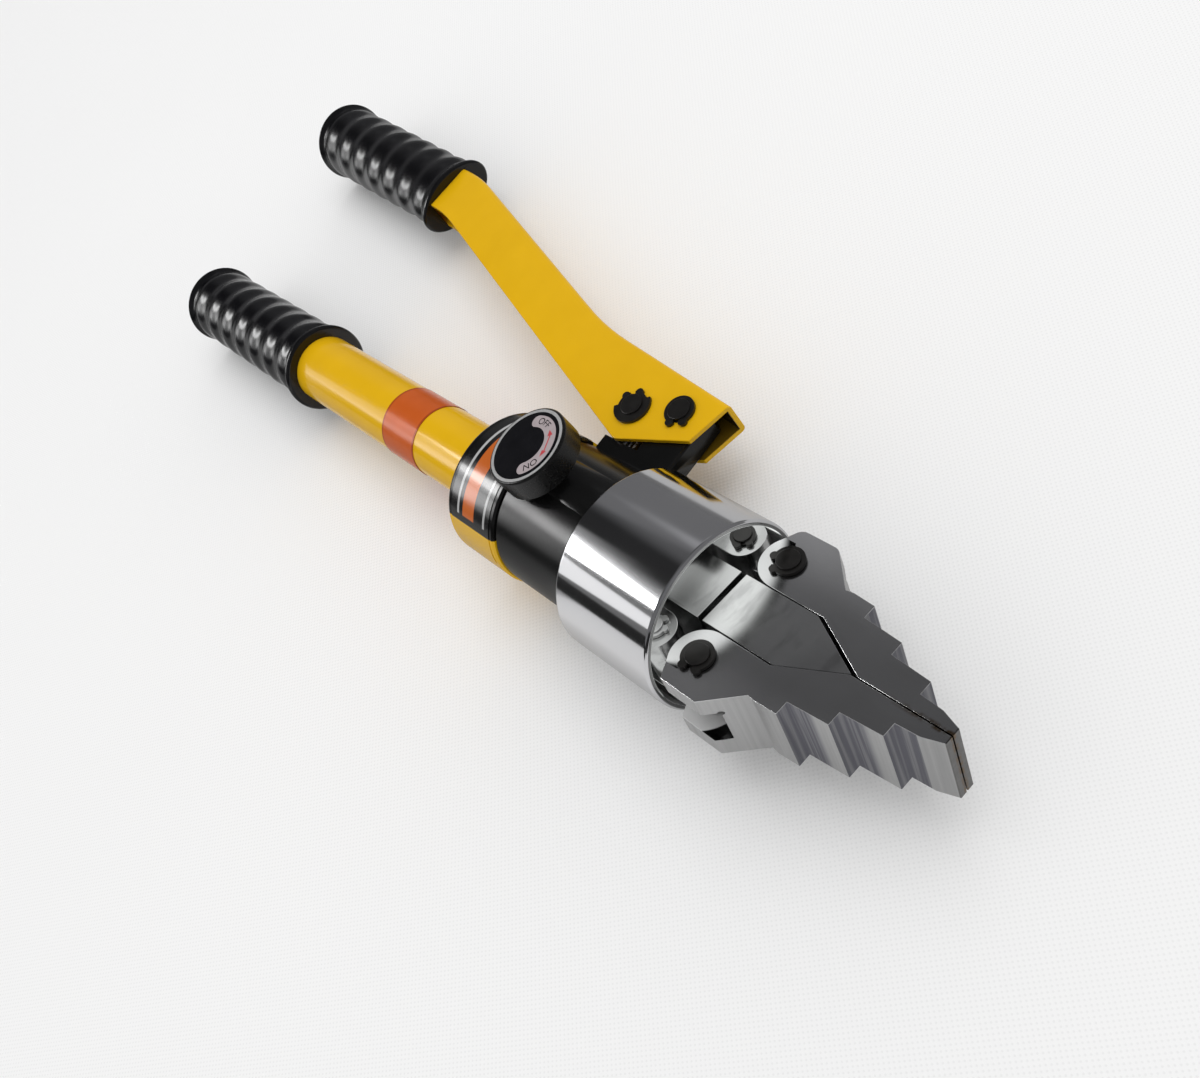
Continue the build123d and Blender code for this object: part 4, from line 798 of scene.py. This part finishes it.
def arrow_mesh():
    """A strip along the arc, two points across: a line's half width between the heads, a head's half width at
    the root of each, and a tip's half width at both ends."""
    necks = [ARROW_TO, ARROW_TO - ARROW_HEAD, ARROW_FROM + ARROW_HEAD, ARROW_FROM]
    turns = np.interp([0, 1, 1 + ARROW_SHOULDER, 2, 2 + ARROW_SHOULDER, 3], range(4), necks)
    one_end = [ARROW_TIP_HALF, ARROW_HEAD_HALF, ARROW_HALF]
    halves = np.array(one_end + one_end[::-1])
    lengths = -np.radians(turns) * PRINT_RADIUS
    points = on_dial(np.stack([lengths, lengths], axis=1), np.stack([halves, -halves], axis=1), 0.0)
    return surface("dial_arrow", points)


for word, angle in WORDS.items():
    letters = word_mesh(word, angle)
    place_piece("dial_" + word.lower(), letters, finishes["dial_print"], "dial_print", "release")
place_piece("dial_arrow", arrow_mesh(), make_finish("dial_red", dial_red), "dial_print", "release")


def stage_piece(name, mesh, material):
    mesh.materials.append(material)
    piece = bpy.data.objects.new(name, mesh)
    scene.collection.objects.link(piece)
    return piece


# Floor: a pale woven sheet in the plane z = FLOOR_Z + FLOOR_SLOPE (x - X_SLEEVE), which lies under the
# sleeve's rear edge and the grip's rear rim.
# Gloss sees painted shade on it under the head, beside the barrel and on the lever's side, darker still far
# off on that side, each with its tone and the low and high ends of its soft edges in metres, and the camera
# sees it fade into the backdrop far off
FLOOR_Z = -0.0358
FLOOR_SLOPE = -0.0437
FLOOR_HALF = 5.0
WEAVE_PITCH = 2.2 * MM
WEAVE_DEPTH = 0.1 * MM
FLOOR_FADE = (0.9, 2.4)
HEAD_GLOSS_SHADE = 0.62
HEAD_FROM_X = (0.06, 0.10)
HEAD_FROM_Y = (-0.12, -0.05)
BARREL_GLOSS_SHADE = 0.34
BARREL_SLANT = 0.83
BARREL_TO = (0.141, 0.158)
BARREL_TO_Y = (-0.045, -0.02)
LEVER_GLOSS_SHADE = 0.58
LEVER_FROM_Y = (0.04, 0.10)
FAR_GLOSS_SHADE = 0.19
FAR_FROM_Y = (0.38, 0.50)


def floor_cloth(wire):
    """Cloth whose weave is the product of two sines, with painted shade that only gloss sees at each named
    place.
    """
    x, y, _ = wire.axes()
    weave = wire.math("SINE", x * (2 * pi / WEAVE_PITCH)) * wire.math("SINE", y * (2 * pi / WEAVE_PITCH))
    colour = wire.noise(3.0).blend(grey(0.865), grey(0.90))
    colour = weave.above(0.25, 0.9).blend(colour, grey(0.82))
    under_head = y.above(*HEAD_FROM_Y) * x.above(*HEAD_FROM_X)
    beside_barrel = (1 - (x - BARREL_SLANT * y).above(*BARREL_TO)) * (1 - y.above(*BARREL_TO_Y))
    lever_side = y.above(*LEVER_FROM_Y)
    far_side = lever_side * y.above(*FAR_FROM_Y)
    gloss_shades = (
        (under_head, HEAD_GLOSS_SHADE),
        (beside_barrel, BARREL_GLOSS_SHADE),
        (lever_side, LEVER_GLOSS_SHADE),
        (far_side, FAR_GLOSS_SHADE),
    )
    seen, gloss = wire.ray_kinds("Is Camera Ray", "Is Glossy Ray")
    # painted shade: gloss sees the floor darker at each of these places
    for place, tone in gloss_shades:
        colour = (gloss * place).blend(colour, grey(tone))
    return {
        "Base Color": colour,
        "Roughness": 0.85,
        "Specular IOR Level": 0.1,
        "Alpha": 1 - seen * wire.math("SQRT", x * x + y * y).above(*FLOOR_FADE),
        "Normal": weave.bump(WEAVE_DEPTH, 0.3),
    }


edges = np.linspace(-FLOOR_HALF, FLOOR_HALF, 3)
floor_x, floor_y = np.meshgrid(edges, edges)
floor_z = FLOOR_Z + FLOOR_SLOPE * (floor_x - X_SLEEVE)
sheet = surface("floor", np.stack([floor_x, floor_y, floor_z], axis=-1))
stage_piece("floor", sheet, make_finish("floor_cloth", floor_cloth))


# Studio seen only in gloss, on domes about the origin. Places are azimuths (TURN) and elevations (RISE) in
# degrees: a soft edge is its low and high end, and a soft range is its low edge, high edge and softness.
# Walls: dimmer high up and at the rear, nearly dark low on the left
DOME_RADIUS = 3.0
DOME_RISE = (-6.0, 89.9)
DOME_GRID = (49, 96)
WALL_TINT = (0.97, 0.97, 1.0, 1.0)
WALL_LIGHT = 0.20
LEFT_TURN = (-1.0, 1.0)
HIGH_SHADE = 0.080
HIGH_RISE = (43.0, 46.5)
REAR_SHADE = 0.17
REAR_RISE = (14.0, 36.0)
REAR_TURN = (148.0, 166.0)
LOW_SHADE = 0.88
LOW_RISE = (12.5, 14.5)

# Bright pane on the left wall, whose foot slopes up towards the jaws, and a gleam on the right wall
PANE_LIGHT = 1.05
PANE_FOOT = (16.2, 17.0)
PANE_HEAD = (30.6, 31.4)
PANE_TURN = (-148.0, -122.0, 5.0)
PANE_SLOPE = 0.8
PANE_SLOPE_TURN = -131.5
PANE_SLOPE_LEAST = -4.0
GLEAM_LIGHT = 0.22
GLEAM_RISE = (36.0, 40.5, 4.5)
GLEAM_TURN = (100.0, 134.0, 7.0)

# Window in front of the left wall: its pane, whose foot lifts towards the jaws, a halo over it, and dimmer
# parts beside it, below it and at its skirt
WINDOW_RADIUS = 2.9
WINDOW_REACH_TURN = (-175.0, -124.0)
WINDOW_REACH_RISE = (1.0, 55.0)
WINDOW_GRID = (28, 27)
WINDOW_TINT = (1.0, 1.0, 1.0, 1.0)
WINDOW_LIGHT = 15.0
WINDOW_FOOT = (34.8, 36.4)
WINDOW_HEAD = (42.0, 46.2)
WINDOW_TURN = (-159.5, -131.0, 4.0)
WINDOW_LIFT = 0.6
WINDOW_LIFT_TURN = -141.0
HALO_LIGHT = 0.7
HALO_FOOT = (36.0, 42.0)
HALO_HEAD = (43.0, 54.0)
HALO_TURN = (-168.0, -131.0, 6.0)
BESIDE_LIGHT = 2.0
BESIDE_RISE = (16.0, 36.0, 2.0)
BESIDE_TURN = (-157.0, -148.0, 2.0)
BELOW_LIGHT = 4.0
BELOW_RISE = (16.0, 30.6, 0.8)
BELOW_TURN = (-146.0, -140.0, 2.0)
SKIRT_LIGHT = 1.2
SKIRT_RISE = (3.0, 16.0, 2.0)
SKIRT_TURN = (-157.0, -149.0, 2.0)

# Glowing card just inside the sleeve's mouth, seen only in gloss: a painted reflection that stands in for a
# bright inner wall in the wedge's and jaws' reflections. It is a band on a cylinder, with a deep part and a
# brighter front part. The light of both changes with the turn about the axis
CARD_RADIUS = 33.0 * MM
CARD_REAR = 170.0 * MM
CARD_FRONT = 210.0 * MM
CARD_TURN = (5.0, 178.0)
CARD_GRID = (9, 70)
CARD_TINT = (0.98, 1.0, 0.99, 1.0)
CARD_END = (203.2 * MM, 207.8 * MM)
DEEP_LIGHT = 1.25
DEEP_FROM = (171.0 * MM, 178.0 * MM)
DEEP_DIM = 0.80
DEEP_DIM_TURN = (52.0, 84.0)
DEEP_GAIN = 0.5
DEEP_GAIN_TURN = (104.0, 116.0)
FRONT_LIGHT = 1.6
FRONT_FROM = (190.5 * MM, 196.5 * MM)
FRONT_SHARE = 0.68
FRONT_GAIN = 0.32
FRONT_GAIN_TURN = (28.0, 46.0)
FRONT_DIM = 0.38
FRONT_DIM_TURN = (92.0, 110.0)


def directions(wire, radius):
    """Azimuth and elevation in degrees on a dome about the origin."""
    x, y, z = wire.axes()
    return wire.math("ARCTAN2", y, x) * (180 / pi), wire.math("ARCSINE", z / radius) * (180 / pi)


def wall_light(wire, azimuth, elevation):
    """Light of the walls with their pane and gleam."""
    left = 1 - azimuth.above(*LEFT_TURN)
    rear = elevation.above(*REAR_RISE) * wire.math("ABSOLUTE", azimuth).above(*REAR_TURN)
    wall = WALL_LIGHT - HIGH_SHADE * elevation.above(*HIGH_RISE) * (1 - rear) - REAR_SHADE * rear
    wall = wall * (1 - LOW_SHADE * left * (1 - elevation.above(*LOW_RISE)))
    slope = PANE_SLOPE * wire.math("MAXIMUM", azimuth - PANE_SLOPE_TURN, PANE_SLOPE_LEAST)
    pane = (elevation - slope).above(*PANE_FOOT) * (1 - elevation.above(*PANE_HEAD))
    pane = pane * azimuth.inside(*PANE_TURN)
    gleam = elevation.inside(*GLEAM_RISE) * azimuth.inside(*GLEAM_TURN)
    return wall + PANE_LIGHT * pane + GLEAM_LIGHT * gleam


def studio_walls(wire):
    azimuth, elevation = directions(wire, DOME_RADIUS)
    return {"Color": WALL_TINT, "Strength": wall_light(wire, azimuth, elevation)}


def studio_window(wire):
    """The window's parts added to the light of the walls behind it."""
    azimuth, elevation = directions(wire, WINDOW_RADIUS)
    lifted = elevation - WINDOW_LIFT * wire.math("MAXIMUM", azimuth - WINDOW_LIFT_TURN, 0.0)
    pane = lifted.above(*WINDOW_FOOT) * (1 - elevation.above(*WINDOW_HEAD)) * azimuth.inside(*WINDOW_TURN)
    halo = elevation.above(*HALO_FOOT) * (1 - elevation.above(*HALO_HEAD)) * azimuth.inside(*HALO_TURN)
    beside = elevation.inside(*BESIDE_RISE) * azimuth.inside(*BESIDE_TURN)
    below = elevation.inside(*BELOW_RISE) * azimuth.inside(*BELOW_TURN)
    skirt = elevation.inside(*SKIRT_RISE) * azimuth.inside(*SKIRT_TURN)
    window = WINDOW_LIGHT * pane + HALO_LIGHT * halo + BESIDE_LIGHT * beside
    window = window + BELOW_LIGHT * below + SKIRT_LIGHT * skirt
    return {"Color": WINDOW_TINT, "Strength": wall_light(wire, azimuth, elevation) + window}


def mouth_glow_card(wire):
    """Light of the card: the deep part giving way to the front part along the axis, and ending past it."""
    x = wire.axes()[0]
    around = turn_about_axis(wire)
    deep = DEEP_LIGHT - DEEP_DIM * around.above(*DEEP_DIM_TURN) + DEEP_GAIN * around.above(*DEEP_GAIN_TURN)
    deep = deep * x.above(*DEEP_FROM)
    share = FRONT_SHARE + FRONT_GAIN * around.above(*FRONT_GAIN_TURN)
    share = share - FRONT_DIM * around.above(*FRONT_DIM_TURN)
    front = x.above(*FRONT_FROM)
    card = deep * (1 - front) + FRONT_LIGHT * share * front
    return {"Color": CARD_TINT, "Strength": card * (1 - x.above(*CARD_END))}


def dome_points(radius, rises, turns):
    """Points of a dome about the origin: radius times (cos rise cos turn, cos rise sin turn, sin rise)."""
    rise, turn = np.meshgrid(rises, turns, indexing="ij")
    level = np.cos(rise)
    return radius * np.stack([level * np.cos(turn), level * np.sin(turn), np.sin(rise)], axis=-1)


def card_points(stations, turns):
    """Points of a cylinder about the tool's axis: (station, radius cos turn, radius sin turn)."""
    station, turn = np.meshgrid(stations, turns, indexing="ij")
    return np.stack([station, CARD_RADIUS * np.cos(turn), CARD_RADIUS * np.sin(turn)], axis=-1)


def gloss_light(name, mesh, recipe):
    """A stage piece that glows with the recipe's colour and strength, and that only gloss sees."""
    material = bpy.data.materials.new(name)
    wire = start_tree(material)
    shader = wire.node("ShaderNodeEmission", None, recipe(wire))
    wire.node("ShaderNodeOutputMaterial", None, {"Surface": shader})
    piece = stage_piece(name, mesh, material)
    piece.visible_camera = False
    piece.visible_diffuse = False
    piece.visible_shadow = False
    piece.visible_transmission = False


dome_rises = np.linspace(*np.radians(DOME_RISE), DOME_GRID[0])
dome_turns = np.linspace(0, 2 * pi, DOME_GRID[1], endpoint=False)
dome = dome_points(DOME_RADIUS, dome_rises, dome_turns)
gloss_light("studio_walls", surface("studio_walls", dome, True), studio_walls)
patch_rises = np.linspace(*np.radians(WINDOW_REACH_RISE), WINDOW_GRID[0])
patch_turns = np.linspace(*np.radians(WINDOW_REACH_TURN), WINDOW_GRID[1])
patch = dome_points(WINDOW_RADIUS, patch_rises, patch_turns)
gloss_light("studio_window", surface("studio_window", patch), studio_window)
card_stations = np.linspace(CARD_REAR, CARD_FRONT, CARD_GRID[0])
card_turns = np.linspace(*np.radians(CARD_TURN), CARD_GRID[1])
card = card_points(card_stations, card_turns)
gloss_light("mouth_glow_card", surface("mouth_glow_card", card), mouth_glow_card)


def soft_lamp(name, azimuth, elevation, distance, size, power):
    """A soft square lamp in a direction from the object, facing it, that gloss doesn't see."""
    light = bpy.data.lights.new(name, "AREA")
    light.shape = "RECTANGLE"
    light.size = size
    light.size_y = size
    light.energy = power
    piece = bpy.data.objects.new(name, light)
    turn, rise = radians(azimuth), radians(elevation)
    place = distance * Vector((cos(rise) * cos(turn), cos(rise) * sin(turn), sin(rise)))
    piece.location = place
    piece.rotation_euler = (-place).to_track_quat("-Z", "Y").to_euler()
    piece.visible_glossy = False
    scene.collection.objects.link(piece)


soft_lamp("overhead_softbox", azimuth=75.0, elevation=76.0, distance=2.4, size=2.0, power=21.0)

# World: near white where the camera, metal or glass sees it, and a plain level on the object
AMBIENT = 0.76
BACKDROP = 0.86
world = bpy.data.worlds.new("studio")
scene.world = world
sky = start_tree(world)
seen, mirrored, through = sky.ray_kinds("Is Camera Ray", "Is Glossy Ray", "Is Transmission Ray")
shown = sky.math("MAXIMUM", sky.math("MAXIMUM", seen, mirrored), through)
strength = AMBIENT + (BACKDROP - AMBIENT) * shown
background = sky.node("ShaderNodeBackground", None, {"Color": grey(1.0), "Strength": strength})
sky.node("ShaderNodeOutputWorld", None, {"Surface": background})

camera = bpy.data.cameras.new("camera")
camera.lens = CAMERA_LENS
camera.sensor_width = CAMERA_SENSOR
camera.sensor_fit = "HORIZONTAL"
camera.clip_start = CAMERA_NEAR
view = bpy.data.objects.new("camera", camera)
view.location = CAMERA_EYE
view.rotation_euler = Euler([radians(turn) for turn in CAMERA_TURN], "XYZ")
scene.collection.objects.link(view)
scene.camera = view
